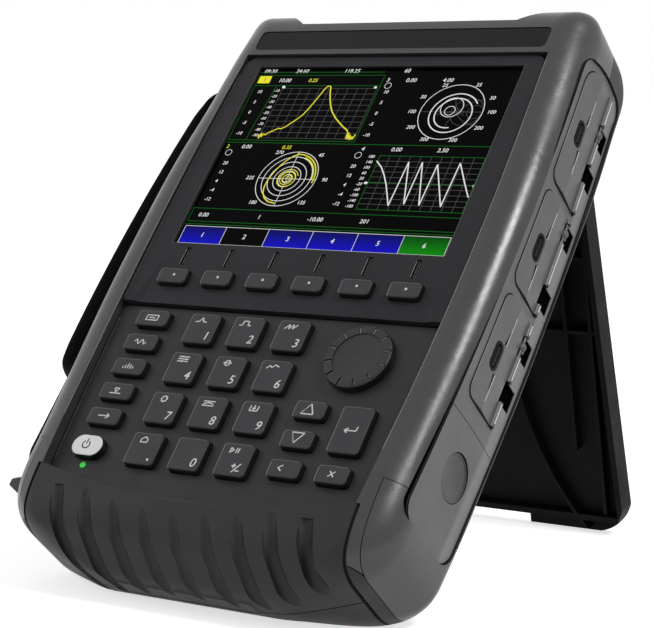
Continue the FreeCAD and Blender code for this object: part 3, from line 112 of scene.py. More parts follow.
class Finish:
    """A node material under way, with its shader and its object coordinates."""

    def __init__(self, name, **sockets):
        self.made = bpy.data.materials.new(name)
        self.made.use_nodes = True
        self.tree = self.made.node_tree
        self.shader = self.tree.nodes["Principled BSDF"]
        self.place = self.add("ShaderNodeTexCoord").outputs["Object"]
        for socket, value in sockets.items():
            self.shader.inputs[socket.replace("_", " ")].default_value = value

    def add(self, kind, **settings):
        node = self.tree.nodes.new(kind)
        for key, value in settings.items():
            setattr(node, key, value)
        return node

    def link(self, start, end):
        self.tree.links.new(start, end)

    def noise(self, size, detail=3.0, stretch=None):
        """Noise whose blots are about size millimetres across."""
        node = self.add("ShaderNodeTexNoise")
        node.inputs["Scale"].default_value = 1000.0 / size
        node.inputs["Detail"].default_value = detail
        source = self.place
        if stretch:
            mapping = self.add("ShaderNodeMapping")
            mapping.inputs["Rotation"].default_value = (-LEAN, 0, 0)
            mapping.inputs["Scale"].default_value = stretch
            self.link(source, mapping.inputs["Vector"])
            source = mapping.outputs["Vector"]
        self.link(source, node.inputs["Vector"])
        return node.outputs["Fac"]

    def spread(self, fac, low, high, a=0.3, b=0.7):
        node = self.add("ShaderNodeMapRange")
        for key, value in (("From Min", a), ("From Max", b), ("To Min", low), ("To Max", high)):
            node.inputs[key].default_value = value
        self.link(fac, node.inputs["Value"])
        return node.outputs["Result"]

    def ramp(self, fac, low, high, a=0.3, b=0.7):
        node = self.add("ShaderNodeValToRGB")
        node.color_ramp.elements[0].position, node.color_ramp.elements[1].position = a, b
        node.color_ramp.elements[0].color, node.color_ramp.elements[1].color = low, high
        self.link(fac, node.inputs["Fac"])
        return node.outputs["Color"]

    def mix(self, fac, a, b):
        node = self.add("ShaderNodeMix", data_type="RGBA")
        self.link(fac, node.inputs["Factor"])
        for socket, value in ((node.inputs[6], a), (node.inputs[7], b)):
            if isinstance(value, tuple):
                socket.default_value = value
            else:
                self.link(value, socket)
        return node.outputs[2]

    def math(self, operation, a, b=None, clamp=False):
        node = self.add("ShaderNodeMath", operation=operation, use_clamp=clamp)
        for socket, value in zip(node.inputs, (a, b)):
            if isinstance(value, (int, float)):
                socket.default_value = value
            elif value is not None:
                self.link(value, socket)
        return node.outputs[0]

    def along(self, direction, offset=0.0):
        """Distance along a direction, in millimetres."""
        node = self.add("ShaderNodeVectorMath", operation="DOT_PRODUCT")
        node.inputs[1].default_value = tuple(1000 * c for c in direction)
        self.link(self.place, node.inputs[0])
        return self.math("ADD", node.outputs["Value"], offset)

    def facing(self, direction):
        """How squarely the surface faces along a direction."""
        node = self.add("ShaderNodeVectorMath", operation="DOT_PRODUCT")
        node.inputs[1].default_value = tuple(direction)
        self.link(self.add("ShaderNodeNewGeometry").outputs["Normal"], node.inputs[0])
        return node.outputs["Value"]

    def bump(self, height, depth):
        """Relief of a depth in millimetres."""
        node = self.add("ShaderNodeBump")
        node.inputs["Strength"].default_value = 1.0
        node.inputs["Distance"].default_value = depth * MM
        self.link(height, node.inputs["Height"])
        self.link(node.outputs["Normal"], self.shader.inputs["Normal"])

    def colour(self, output):
        self.link(output, self.shader.inputs["Base Color"])

    def roughness(self, output):
        self.link(output, self.shader.inputs["Roughness"])


def moulded(name, low, high, rough, grain, depth, cloud=26.0, **sockets):
    """A moulded skin: spark-eroded grain, faint clouds of colour and handled patches of gloss."""
    skin = Finish(name, **sockets)
    cloud_fac, handled = skin.noise(cloud), skin.noise(cloud * 0.4, 5.0)
    grains = skin.noise(grain, 2.0)
    base = skin.ramp(cloud_fac, low, high)
    skin.colour(skin.mix(skin.spread(grains, 0.0, 0.35), base, tuple(0.75 * c for c in low[:3]) + (1,)))
    skin.roughness(skin.spread(handled, rough - 0.06, rough + 0.06))
    skin.bump(grains, depth)
    return skin


def side_skin():
    """Side plastic, paler behind the hinges as a painted highlight, and black down in the hinge notches
    and seams as painted shade where no light reaches, with the sheen taken away there."""
    skin = moulded("side_plastic_grained", tint(78), tint(85), 0.42, 0.5, 0.02)
    lift = skin.along(UP, CASE_UP - BOW_CENTRE)
    bow = skin.math("DIVIDE", skin.math("MULTIPLY", lift, lift), 2 * SIDE_BOW)
    reach = skin.math("ADD", skin.math("ABSOLUTE", skin.along(ACROSS)), bow)
    # painted shade: faces sunk more than 0.14 mm below the side face turn black and lose their sheen
    painted_notch_shade = skin.spread(reach, 1.0, 0.0, SIDE_FACE - 0.5, SIDE_FACE - 0.14)
    plain = skin.shader.inputs["Base Color"].links[0].from_socket
    depth = skin.along(OUT, CASE_OUT)
    # painted highlight: the strip behind the hinges is lightened, standing in for a slope there that would
    # catch the light
    pale = skin.mix(skin.spread(depth, 1.0, 0.0, *PAINTED_HIGHLIGHT_EDGE), plain, tint(112))
    skin.colour(skin.mix(painted_notch_shade, pale, tint(7)))
    skin.link(skin.math("SUBTRACT", 0.4, skin.math("MULTIPLY", painted_notch_shade, 0.4)),
              skin.shader.inputs["Specular IOR Level"])
    return skin.made


def key_skin():
    """Charcoal key rubber, its side walls painted near-black as painted shade, and a painted highlight on the
    edges that face up and to the left.
    """
    skin = moulded("key_rubber_painted_light", tint(46, 46, 49), tint(51, 51, 54), 0.5, 0.35, 0.012, 12.0,
                   Specular_IOR_Level=0.3)
    outward = skin.facing(OUT)
    # painted shade: faces that don't look out of the panel go near-black
    printed = skin.spread(outward, 0.0, 1.0, 0.72, 0.93)
    plain = skin.shader.inputs["Base Color"].links[0].from_socket
    # painted highlight, not wear: rounded edges facing up and to the left go pale
    painted_highlight = skin.math("MULTIPLY", skin.spread(outward, 0.0, 1.0, 0.2, 0.4),
                     skin.spread(skin.facing(UP * 0.3 - ACROSS * 0.95), 0.0, 1.0, 0.08, 0.25))
    skin.colour(skin.mix(painted_highlight, skin.mix(printed, tint(8), plain), tint(130)))
    return skin.made


def webbing_skin():
    """Tight black weave, read from the band's own length and width."""
    skin = Finish("strap_webbing", Sheen_Weight=0.05, Sheen_Roughness=0.5, Specular_IOR_Level=0.15)
    skin.place = skin.add("ShaderNodeTexCoord").outputs["UV"]
    waves = []
    for turn, count in ((0.0, 190.0), (math.pi / 2, 46.0)):
        mapping = skin.add("ShaderNodeMapping")
        mapping.inputs["Rotation"].default_value = (0, 0, turn)
        skin.link(skin.place, mapping.inputs["Vector"])
        wave = skin.add("ShaderNodeTexWave", wave_profile="SIN")
        wave.inputs["Scale"].default_value = count / 2
        wave.inputs["Distortion"].default_value = 0.4
        skin.link(mapping.outputs["Vector"], wave.inputs["Vector"])
        waves.append(wave.outputs["Fac"])
    weave = skin.math("MULTIPLY", waves[0], waves[1])
    skin.colour(skin.ramp(weave, tint(4), tint(14), 0.0, 1.0))
    skin.roughness(skin.spread(weave, 0.95, 0.75, 0.0, 1.0))
    skin.bump(weave, 0.25)
    return skin.made


def turned_skin():
    """Turned plated metal: fine rings around the port's own axis, with a few dull patches."""
    skin = Finish("port_turned", Metallic=1.0, Base_Color=tint(196, 190, 172), Anisotropic=0.4)
    rings = skin.add("ShaderNodeMath", operation="SINE")
    skin.link(skin.math("MULTIPLY", skin.along(UP), 2 * math.pi / THREAD_PITCH), rings.inputs[0])
    skin.roughness(skin.spread(skin.noise(3.0, 4.0), 0.2, 0.38))
    skin.bump(rings.outputs[0], 0.12)
    return skin.made


def brushed_skin(name, colour, rough):
    skin = Finish(name, Metallic=1.0, Base_Color=colour)
    streaks = skin.noise(0.5, 2.0, (0.08, 1, 1))
    skin.roughness(skin.spread(streaks, rough - 0.08, rough + 0.1))
    skin.bump(streaks, 0.01)
    return skin.made


def glossy_skin(name, colour, rough, **sockets):
    return glossy_skin_under_way(name, colour, rough, **sockets).made


def glossy_skin_under_way(name, colour, rough, **sockets):
    """Polished face with faint rubbed patches and dust-fine pits."""
    skin = Finish(name, **sockets)
    skin.colour(skin.ramp(skin.noise(30.0), colour, tuple(min(1, 1.15 * c) for c in colour[:3]) + (1,)))
    skin.roughness(skin.spread(skin.noise(9.0, 5.0), rough, rough + 0.07))
    skin.bump(skin.noise(1.2, 1.0), 0.003)
    return skin


def lit_skin(name, colour, far=None):
    """A lit part of the picture, broken up by the display's own fine dots. It turns to the far colour
    up the row of cells, where it has one."""
    skin = Finish(name, Roughness=0.3, Base_Color=tint(3), Emission_Strength=1.0,
                  Specular_IOR_Level=0.03)
    dots = skin.math("SINE", skin.math("MULTIPLY", skin.along(ACROSS), 2 * math.pi / DOT_PITCH))
    shade = tuple(0.86 * c for c in colour[:3]) + (1,)
    glow = skin.ramp(dots, shade, colour, 0.0, 0.6)
    if far:
        blend = skin.spread(skin.along(UP, CASE_UP), 0.0, 1.0, *CELL_SHADE)
        glow = skin.mix(blend, glow, far)
    skin.link(glow, skin.shader.inputs["Emission Color"])
    return skin.made


def cap_skin():
    """White lacquer on the face that looks out of the panel, black rubber all round it."""
    skin = glossy_skin_under_way("power_cap_white", tint(214, 214, 212), 0.3)
    white_face = skin.spread(skin.facing(OUT), 0.0, 1.0, 0.55, 0.75)
    plain = skin.shader.inputs["Base Color"].links[0].from_socket
    skin.colour(skin.mix(white_face, tint(10), plain))
    return skin.made


def knob_skin():
    """Charcoal top and a side painted near-black as painted shade, with the grain of the panel."""
    skin = moulded("knob_rubber_grained", tint(32, 31, 34), tint(36, 35, 38), 0.44, 0.35, 0.012, 12.0,
                   Specular_IOR_Level=0.35)
    # painted shade: faces that don't look out of the panel go near-black
    top = skin.spread(skin.facing(OUT), 0.0, 1.0, 0.45, 0.8)
    plain = skin.shader.inputs["Base Color"].links[0].from_socket
    skin.colour(skin.mix(top, tint(7), plain))
    return skin.made


def printed_skin(name, colour):
    """Screen-printed ink, a touch uneven."""
    skin = Finish(name)
    skin.colour(skin.ramp(skin.noise(0.6), tuple(0.82 * c for c in colour[:3]) + (1,), colour))
    skin.roughness(skin.spread(skin.noise(2.0), 0.45, 0.6))
    skin.bump(skin.noise(0.3), 0.01)
    return skin.made


guard = moulded("guard_rubber_soft", tint(39, 40, 39), tint(44, 45, 44), 0.29, 0.45, 0.02,
                Specular_IOR_Level=0.6).made
boot = moulded("boot_rubber_soft", tint(37, 37, 39), tint(42, 42, 44), 0.5, 0.5, 0.025,
               Specular_IOR_Level=0.25).made
front = moulded("front_plastic_grained", tint(30, 30, 33), tint(35, 35, 38), 0.48, 0.4, 0.015,
                Specular_IOR_Level=0.3).made
bezel = moulded("bezel_plastic_grained", tint(37, 36, 40), tint(42, 41, 45), 0.46, 0.4, 0.015,
                Specular_IOR_Level=0.14).made
rear = moulded("rear_plastic_grained", tint(36), tint(42), 0.55, 0.6, 0.03, Specular_IOR_Level=0.35).made
stand_skin = moulded("stand_plastic_grained", tint(10, 10, 12), tint(14, 14, 16), 0.55, 0.6, 0.02,
                     Specular_IOR_Level=0.1).made
side, keys = side_skin(), key_skin()
latch = moulded("latch_plastic_grained", tint(66), tint(72), 0.46, 0.5, 0.02, Specular_IOR_Level=0.3).made
steel = brushed_skin("steel_brushed", tint(170, 170, 174), 0.3)
shield = brushed_skin("shield_tin", tint(196), 0.35)
pin_steel = brushed_skin("pin_steel_dark", tint(70, 70, 73), 0.4)
ports = turned_skin()
black_gloss = glossy_skin("strip_polished", tint(9), 0.16, Specular_IOR_Level=0.16)
glass = glossy_skin("window_dark", tint(2), 0.25, Specular_IOR_Level=0.02)
white_cap = cap_skin()
lamp = glossy_skin("light_green_lens", tint(30, 190, 50), 0.2, Emission_Color=tint(40, 220, 60),
                   Emission_Strength=0.28)
silicone = moulded("mat_silicone", tint(120), tint(130), 0.6, 0.4, 0.01).made
pack = moulded("pack_plastic", tint(44), tint(50), 0.5, 0.5, 0.02).made
lug = moulded("lug_plastic", tint(26), tint(32), 0.5, 0.4, 0.02).made
pull_skin = moulded("pull_rubber", tint(5), tint(8), 0.6, 0.3, 0.02, Specular_IOR_Level=0.12).made
rib_skin = moulded("pull_rib_rubber", tint(34), tint(40), 0.5, 0.3, 0.01, Specular_IOR_Level=0.2).made
# painted highlights: pale lines laid on edges where the light would catch them, a bright one and a dim one
painted_highlight = moulded("edge_painted_highlight", tint(128), tint(140), 0.4, 0.3, 0.005).made
gleam = moulded("edge_gleam", tint(205), tint(214), 0.35, 0.3, 0.005).made
painted_highlight_dim = moulded("edge_painted_highlight_dim", tint(74), tint(84), 0.45, 0.3, 0.005).made
# painted shade: near-black laid in slots, seams, grooves and nicks where no light reaches
painted_slot_shade = moulded("painted_slot_shade", tint(5), tint(8), 0.7, 0.3, 0.01, Specular_IOR_Level=0.1).made
ink, black_ink = printed_skin("ink_white", tint(225)), printed_skin("ink_black", tint(12))
webbing = webbing_skin()

FINISHES = {
    guard: ("guard_frame", "corner_guards"),
    boot: ("bottom_boot",),
    front: ("keypad_panel", "front_housing", "port_wall"),
    bezel: ("display_bezel",),
    knob_skin(): ("tuning_knob",),
    side: ("right_side_panel", "left_side_panel", "battery_door", "port_door_1", "port_door_2",
           "port_door_3"),
    latch: ("battery_latch",),
    rear: ("rear_housing",),
    stand_skin: ("kickstand",),
    black_gloss: ("name_strip",),
    glass: ("display_window", "display_module"),
    lamp: ("status_light",),
    steel: ("housing_screws", "knob_encoder"),
    pin_steel: ("hinge_pins",),
    ports: ("test_ports", "side_sockets"),
    shield: ("main_board",),
    silicone: ("key_mat",),
    pack: ("battery_pack",),
    lug: ("strap_anchors",),
    webbing: ("hand_strap",),
    white_cap: ("power_button",),
    keys: tuple(n for n in nodes if "_key" in n),
}
for finish, names in FINISHES.items():
    for name in names:
        for slot in nodes[name].material_slots:
            slot.material = finish


# ---------------------------------------------------------------- flat marks
SHARP, SLANT, PATCH_THICK = math.radians(50), 0.12, 0.04


def runs_of(line):
    """Cuts a line at its sharp corners, where a band would pinch."""
    runs, start = [], 0
    for i in range(1, len(line) - 1):
        before = Vector(line[i][:2]) - Vector(line[i - 1][:2])
        after = Vector(line[i + 1][:2]) - Vector(line[i][:2])
        if before.angle(after, 0.0) > SHARP:
            runs.append(line[start:i + 1])
            start = i
    return runs + [line[start:]]


def line_work(lines, width, level, closed=False, flat=0.08):
    """Thin lines through points of the case's front plane, pressed flat, each point with its own lift
    where it has one."""
    work = bpy.data.curves.new("lines", "CURVE")
    work.dimensions = "3D"
    for points in lines if closed else [run for line in lines for run in runs_of(line)]:
        spline = work.splines.new("POLY")
        spline.points.add(len(points) - 1)
        for point, (u, v, *lift) in zip(spline.points, points):
            point.co = (u, v, *(lift or (0,)), 1)
        spline.use_cyclic_u = closed
    work.bevel_depth = width / 2
    work.bevel_resolution = 0
    piece = bpy.data.objects.new("lines", work)
    bpy.context.scene.collection.objects.link(piece)
    pick(piece)
    bpy.ops.object.convert(target="MESH")
    piece = bpy.context.object
    piece.matrix_world = Matrix.Translation((0, 0, level)) @ Matrix.Diagonal((1, 1, flat, 1))
    bpy.ops.object.transform_apply(location=True, rotation=True, scale=True)
    return piece


def figure(text, u, v, size, level, heavy=0.01):
    """A flat figure centred on a place."""
    bpy.ops.object.select_all(action="DESELECT")
    bpy.ops.object.text_add()
    letter = bpy.context.object
    letter.data.body, letter.data.size, letter.data.shear = text, size, SLANT
    letter.data.align_x, letter.data.align_y = "CENTER", "CENTER"
    letter.data.extrude, letter.data.resolution_u, letter.data.offset = 0.02, 3, heavy
    bpy.ops.object.convert(target="MESH")
    letter = bpy.context.object
    letter.matrix_world = Matrix.Translation((u, v, level))
    bpy.ops.object.transform_apply(location=True, rotation=True, scale=True)
    return letter


def patch(u0, u1, v0, v1, level, round_off=0.0):
    """A thin flat patch with softened corners."""
    bpy.ops.object.select_all(action="DESELECT")
    bpy.ops.mesh.primitive_cube_add(size=1)
    piece = bpy.context.object
    piece.matrix_world = (Matrix.Translation(((u0 + u1) / 2, (v0 + v1) / 2, level))
                          @ Matrix.Diagonal((u1 - u0, v1 - v0, PATCH_THICK, 1)))
    bpy.ops.object.transform_apply(location=True, rotation=True, scale=True)
    if round_off:
        bpy.ops.object.mode_set(mode="EDIT")
        bpy.ops.mesh.select_all(action="DESELECT")
        bpy.ops.object.mode_set(mode="OBJECT")
        for edge in piece.data.edges:
            a, b = (piece.data.vertices[i].co for i in edge.vertices)
            edge.select = abs(a.z - b.z) > PATCH_THICK / 2
        bpy.ops.object.mode_set(mode="EDIT")
        bpy.ops.mesh.select_mode(type="EDGE")
        bpy.ops.mesh.bevel(offset=round_off, segments=4)
        bpy.ops.object.mode_set(mode="OBJECT")
    return piece


def ring(u, v, radius, start=0.0, end=360.0, steps=48):
    angles = [math.radians(start + (end - start) * i / steps) for i in range(steps + 1)]
    return [(u + radius * math.cos(a), v + radius * math.sin(a)) for a in angles]


def box_line(u0, u1, v0, v1):
    return [(u0, v0), (u1, v0), (u1, v1), (u0, v1)]


def grid_lines(u0, u1, v0, v1, columns, rows):
    across = [[(u0, v0 + (v1 - v0) * i / rows), (u1, v0 + (v1 - v0) * i / rows)] for i in range(rows + 1)]
    upright = [[(u0 + (u1 - u0) * i / columns, v0), (u0 + (u1 - u0) * i / columns, v1)]
               for i in range(columns + 1)]
    return across + upright


# ---------------------------------------------------------------- lit picture
LIT = WINDOW_FRONT + 0.04
LIT_FRAME, LIT_TRACE, LIT_TOP = LIT + 0.02, LIT + 0.04, LIT + 0.05
grid_1, grid_4 = (-50.0, -1.2, 59.6, 88.0), (15.4, 65.2, 22.6, 51.0)
POLAR, CHART, FIGURES_OUT = (-25.3, 37.3), (40.0, 75.2), 19.0
white, yellow = lit_skin("lit_white", tint(235)), lit_skin("lit_yellow", tint(232, 226, 60))
green, grey = lit_skin("lit_green", tint(16, 104, 26)), lit_skin("lit_grey", tint(84, 82, 86))
blue_cell = lit_skin("lit_blue", tint(14, 12, 196), tint(6, 6, 74))
green_cell = lit_skin("lit_green_cell", tint(8, 140, 10), tint(2, 62, 6))
tag_yellow, tag_dark = lit_skin("lit_tag", tint(240, 232, 50)), printed_skin("tag_dark", tint(40, 40, 20))


def picture(name, pieces, finish):
    dress(gather(name, pieces), finish, "case")


def scale_figures(u, v0, v1, count, first, step, size=2.1):
    """The figures down the side of a graph."""
    return [figure(str(first + step * i), u, v1 - (v1 - v0) * i / (count - 1), size, LIT)
            for i in range(count)]


def on_dial(radius, angle, stretch=1.0, centre=POLAR):
    """A place on a round graph, its angle in degrees."""
    a = math.radians(angle)
    return centre[0] + radius * math.cos(a), centre[1] + radius * stretch * math.sin(a)


picture("picture_grids", [
    line_work(grid_lines(*grid_1, 10, 9), 0.22, LIT),
    line_work(grid_lines(*grid_4, 10, 10), 0.22, LIT),
    line_work([ring(40.0, 61.0, 14.0, 62, 118), ring(47.6, 82.8, 7.6, 170, 290),
               ring(47.6, 67.6, 7.6, 70, 190), ring(54.9, 82.0, 14.0, 200, 262),
               ring(54.9, 68.0, 14.0, 98, 160), ring(47.4, 75.2, 7.4), ring(51.2, 75.2, 3.6),
               [(25.4, 75.2), (54.8, 75.2)]], 0.2, LIT),
], grey)
picture("picture_frames", [
    line_work([box_line(-65.6, -0.2, 58.2, 95.6), box_line(-65.6, 66.2, 12.9, 20.0),
               box_line(*grid_4)], 0.4, LIT_FRAME, True),
    line_work([[(-56.4, 58.2), (-54.0, 89.6)], [(-65.6, 89.6), (-0.2, 89.6)],
               [(grid_4[0], 36.4), (grid_4[1], 36.4)], [(-66, 56.8), (66, 56.8)],
               [(-66, 11.4), (66, 11.4)], [(-66, 97.4), (-1, 97.4)]], 0.3, LIT_FRAME),
], green)
peak = [(-50.6, 61.4), (-50.1, 59.2), (-49.6, 62.2), (-49.0, 60.0), (-48.4, 61.8), (-47.2, 61.2),
        (-46.0, 62.6), (-44.4, 63.4), (-42.2, 65.0), (-40.6, 64.8), (-38.9, 65.8), (-36.6, 68.2),
        (-34.4, 70.6), (-32.6, 73.0), (-31.2, 76.4), (-30.0, 80.0), (-28.9, 83.6), (-27.9, 87.0),
        (-27.0, 89.0), (-25.9, 89.5), (-25.0, 88.6), (-24.0, 85.4), (-22.6, 82.0), (-20.8, 78.4),
        (-18.4, 74.6), (-15.2, 71.2), (-12.2, 68.6), (-9.4, 66.4), (-6.7, 64.6), (-5.6, 63.2),
        (-5.2, 59.6), (-4.7, 63.0), (-4.2, 59.4), (-3.7, 61.8), (-3.2, 59.2), (-2.6, 61.0), (-2.0, 59.4),
        (-1.4, 62.2)]
swirl = [on_dial(r, a) for a, r in (
    (88, 13.6), (100, 12.4), (115, 10.8), (130, 9.6), (150, 8.9), (170, 8.8), (190, 9.5), (207, 10.6),
    (222, 11.7), (237, 12.6), (252, 13.2), (268, 13.3))]
scribble = [on_dial(5.4 - 0.1 * i, 20 + 27 * i) for i in range(46)]
picture("picture_yellow_traces", [
    line_work([peak, swirl, ring(*POLAR, 13.5, -8, 92, 20), ring(*POLAR, 12.4, -2, 70, 20)],
              0.6, LIT_TOP),
    line_work([scribble], 0.4, LIT_TOP),
    figure("2", -64.0, 54.4, 2.8, LIT), figure("0.25", -36.0, 92.6, 2.8, LIT),
    figure("0.35", -33.0, 54.4, 2.8, LIT),
], yellow)
saw = [(14.9, 48.2), (18.4, 45.0), (21.4, 41.0), (24.6, 35.6), (27.4, 30.0), (29.8, 25.0), (30.5, 48.0),
       (36.8, 26.0), (37.0, 48.0), (44.0, 25.6), (44.5, 47.0), (54.1, 25.4), (54.7, 48.0), (60.6, 37.6),
       (64.8, 30.6)]
loop = [(40.8 + (11.6 - 0.07 * i) * math.cos(math.radians(30 + 10 * i)),
         73.9 + (11.6 - 0.07 * i) * math.sin(math.radians(30 + 10 * i))) for i in range(62)]
polar = [ring(*POLAR, r) for r in (14.7, 12.0, 9.2, 6.6, 4.2, 2.2)]
around = [figure(str(n), *on_dial(FIGURES_OUT, a, 16.2 / FIGURES_OUT, CHART), 2.7, LIT) for n, a in (
    (25, 66), (50, 28), (100, 0), (200, -32), (300, -70), (300, 248), (200, 212), (100, 180), (50, 150),
    (25, 116))]
around += [figure(str(n), *on_dial(FIGURES_OUT, a, 16.8 / FIGURES_OUT), 2.7, LIT) for n, a in (
    (45, 52), (90, 0), (135, -48), (180, 232), (225, 180), (270, 122))]
around += [figure(text, u, v, 3.0, LIT) for text, u, v in (
    ("09:30", -61.0, 98.0), ("24.60", -44.0, 98.0), ("118.25", -18.0, 98.0), ("60", 10.0, 98.0),
    ("10.00", -51.0, 92.6), ("0.00", 14.0, 92.6), ("4.00", 32.0, 92.6), ("0.00", -54.0, 54.4),
    ("0.00", 22.0, 54.4), ("2.50", 44.0, 54.4), ("3", 2.4, 92.8), ("4", 5.6, 54.4),
    ("0.00", -59.0, 16.4), ("1", -30.0, 16.4), ("-10.00", -2.0, 16.4), ("201", 22.0, 16.4))]
around += scale_figures(-52.6, 61.0, 86.6, 9, -10, -10) + scale_figures(11.4, 24.0, 50.4, 10, 180, -40)
for u in (-61.6, 4.0):
    around += scale_figures(u, 62.0, 86.0, 5, 10, -5, 2.5)
    around += scale_figures(u + 0.6, 25.0, 45.0, 5, 20, -8, 2.5)
arrows = [patch(-50.4, -49.0, 88.0, 89.2, LIT, 0.4), patch(-3.0, -1.6, 88.0, 89.2, LIT, 0.4),
          patch(13.6, 15.2, 35.8, 37.0, LIT, 0.4), patch(64.6, 66.2, 35.8, 37.0, LIT, 0.4)]
picture("picture_white_traces", [
    line_work([saw, loop], 0.55, LIT_TRACE),
    line_work([ring(*CHART, 14.9), ring(39.6, 77.6, 5.2), ring(39.2, 75.8, 2.4)] + polar, 0.34,
              LIT + 0.03),
    line_work([[(-40.0, 37.3), (-10.6, 37.3)], [(-25.3, 22.6), (-25.3, 52.0)]], 0.26, LIT_FRAME),
    line_work([ring(u, v, 1.6, steps=16) for u, v in ((-62.0, 51.0), (4.6, 51.0), (3.6, 89.6))],
              0.24, LIT),
] + arrows + around, white)
edges = (-65.2, -43.6, -21.8, 0.2, 22.0, 43.6, 64.9)
cells = list(zip(edges, edges[1:]))
cell_patches = {i: (a + 0.2, b - 0.2, 1.2, 10.2, LIT) for i, (a, b) in enumerate(cells)}
DARK_CELL, GREEN_CELL = 1, 5
picture("picture_soft_cells", [patch(*place) for i, place in cell_patches.items()
                               if i not in (DARK_CELL, GREEN_CELL)], blue_cell)
picture("picture_green_cell", [patch(*cell_patches[GREEN_CELL])], green_cell)
picture("picture_cell_edges", [line_work([box_line(a, b, 1.1, 10.3) for a, b in cells], 0.34,
                                         LIT_TOP, True)]
        + [figure(str(i + 1), (a + b) / 2, 5.6, 3.4, LIT_TOP) for i, (a, b) in enumerate(cells)], white)
picture("picture_tag", [patch(-65.2, -58.8, 91.0, 95.2, LIT_TRACE, 0.5)], tag_yellow)
picture("picture_tag_figure", [figure("1", -62.0, 93.0, 3.0, LIT + 0.08)], tag_dark)


# ---------------------------------------------------------------- marks on the keys
MARKS = {
    "frame": [[(-2.9, -1.2), (2.9, -1.2), (2.9, 1.2), (-2.9, 1.2), (-2.9, -1.2)], [(-1.6, 0), (1.6, 0)]],
    "wave": [[(0.32 * i - 2.9, 1.1 * math.sin(i * 0.7)) for i in range(19)]],
    "bars": [[(x, -1.2), (x, y)] for x, y in ((-2.4, -0.2), (-1.2, 0.5), (0, 1.2), (1.2, 0.7), (2.4, 0.0))],
    "marker": [[(-1.2, 1.2), (1.2, 1.2), (0, -0.7), (-1.2, 1.2)], [(-2.8, -1.2), (2.8, -1.2)]],
    "send": [[(-2.8, 0), (2.6, 0)], [(1.2, 1.1), (2.7, 0), (1.2, -1.1)]],
    "peak": [[(-2.8, -1.0), (-1.0, -0.8), (0, 1.2), (1.0, -0.8), (2.8, -1.0)]],
    "band": [[(-2.8, -1.0), (-1.4, -1.0), (-1.2, 1.0), (1.2, 1.0), (1.4, -1.0), (2.8, -1.0)]],
    "sweep": [[(-2.8, -1.0), (-0.9, 1.1), (-0.9, -1.0), (1.0, 1.1), (1.0, -1.0), (2.8, 1.1)]],
    "sliders": [[(-2.6, y), (2.6, y)] for y in (1.1, 0, -1.1)] + [[(x, y - 0.4), (x, y + 0.4)]
               for x, y in ((-1, 1.1), (1.2, 0), (-0.2, -1.1))],
    "target": [ring(0, 0, 1.2, steps=16), [(-2.0, 0), (2.0, 0)]],
    "trace": [[(-2.8, -0.8), (-1.6, 0.6), (-0.4, -0.2), (0.9, 1.1), (2.8, 0.2)]],
    "cog": [ring(0, 0, 1.2, steps=12)] + [[(1.2 * math.cos(a), 1.2 * math.sin(a)),
           (1.7 * math.cos(a), 1.7 * math.sin(a))] for a in (i * math.pi / 4 for i in range(8))],
    "limits": [[(-2.8, 1.0), (2.8, 1.0)], [(-2.8, -1.0), (2.8, -1.0)], [(-2.4, -0.2), (0, 0.4), (2.4, -0.2)]],
    "store": [[(-1.8, 1.2), (-1.8, -1.2), (1.8, -1.2), (1.8, 1.2)], [(0, 1.4), (0, -0.5)],
              [(-0.7, 0.2), (0, -0.6), (0.7, 0.2)]],
    "home": [[(-1.6, -1.2), (-1.6, 0.2), (0, 1.3), (1.6, 0.2), (1.6, -1.2), (-1.6, -1.2)]],
    "hold": [[(-2.0, 1.1), (-2.0, -1.1), (-0.4, 0), (-2.0, 1.1)], [(0.8, 1.1), (0.8, -1.1)],
             [(1.8, 1.1), (1.8, -1.1)]],
    "return": [[(2.6, 1.4), (2.6, -0.6), (-2.4, -0.6)], [(-1.0, 0.5), (-2.5, -0.6), (-1.0, -1.7)]],
    "back": [[(0.9, 1.3), (-0.9, 0), (0.9, -1.3)]],
    "cross": [[(-1.2, 1.2), (1.2, -1.2)], [(-1.2, -1.2), (1.2, 1.2)]],
    "up": [[(-2.8, -2.3), (0, 2.3), (2.8, -2.3), (-2.8, -2.3), (0, 2.3)]],
    "down": [[(-2.8, 2.3), (0, -2.3), (2.8, 2.3), (-2.8, 2.3), (0, -2.3)]],
    "plus_minus": [[(-2.4, 0.9), (-0.4, 0.9)], [(-1.4, 1.9), (-1.4, -0.1)], [(0.2, -1.2), (2.0, -1.2)],
                   [(-1.1, -1.9), (1.4, 2.0)]],
}


def mark(name, u, v, width=0.58):
    return line_work([[(u + x + SLANT * y, v + y) for x, y in line] for line in MARKS[name]], width, KEY_INK)


NUMBER_AT, NUMBER_PITCH = (-30.8, -42.5), (21.8, 19.4)
FUNCTION_AT, FUNCTION_PITCH = (-57.3, -39.2), 12.2
POWER_AT = (-58.6, -102.1)
NUMBER_KEYS = (("1", "peak"), ("2", "band"), ("3", "sweep"), ("4", "sliders"), ("5", "target"),
               ("6", "trace"), ("7", "cog"), ("8", "limits"), ("9", "store"), ("point", "home"), ("0", ""),
               ("sign", "hold"))
for index, (name, kind) in enumerate(NUMBER_KEYS):
    u = NUMBER_AT[0] + NUMBER_PITCH[0] * (index % 3)
    v = NUMBER_AT[1] - NUMBER_PITCH[1] * (index // 3)
    printed = [mark(kind, u - 1.2, v + 4.0)] if kind else []
    if name == "point":
        printed.append(patch(u + 3.9, u + 4.9, v - 5.2, v - 4.2, KEY_INK, 0.3))
    elif name == "sign":
        printed.append(mark("plus_minus", u + 2.6, v - 3.6, 0.65))
    else:
        printed.append(figure(name, u + 4.1, v - 3.7, 5.6, KEY_INK, heavy=0.012))
    dress(gather("mark_number_key_" + name, printed), ink, "number_key_" + name)
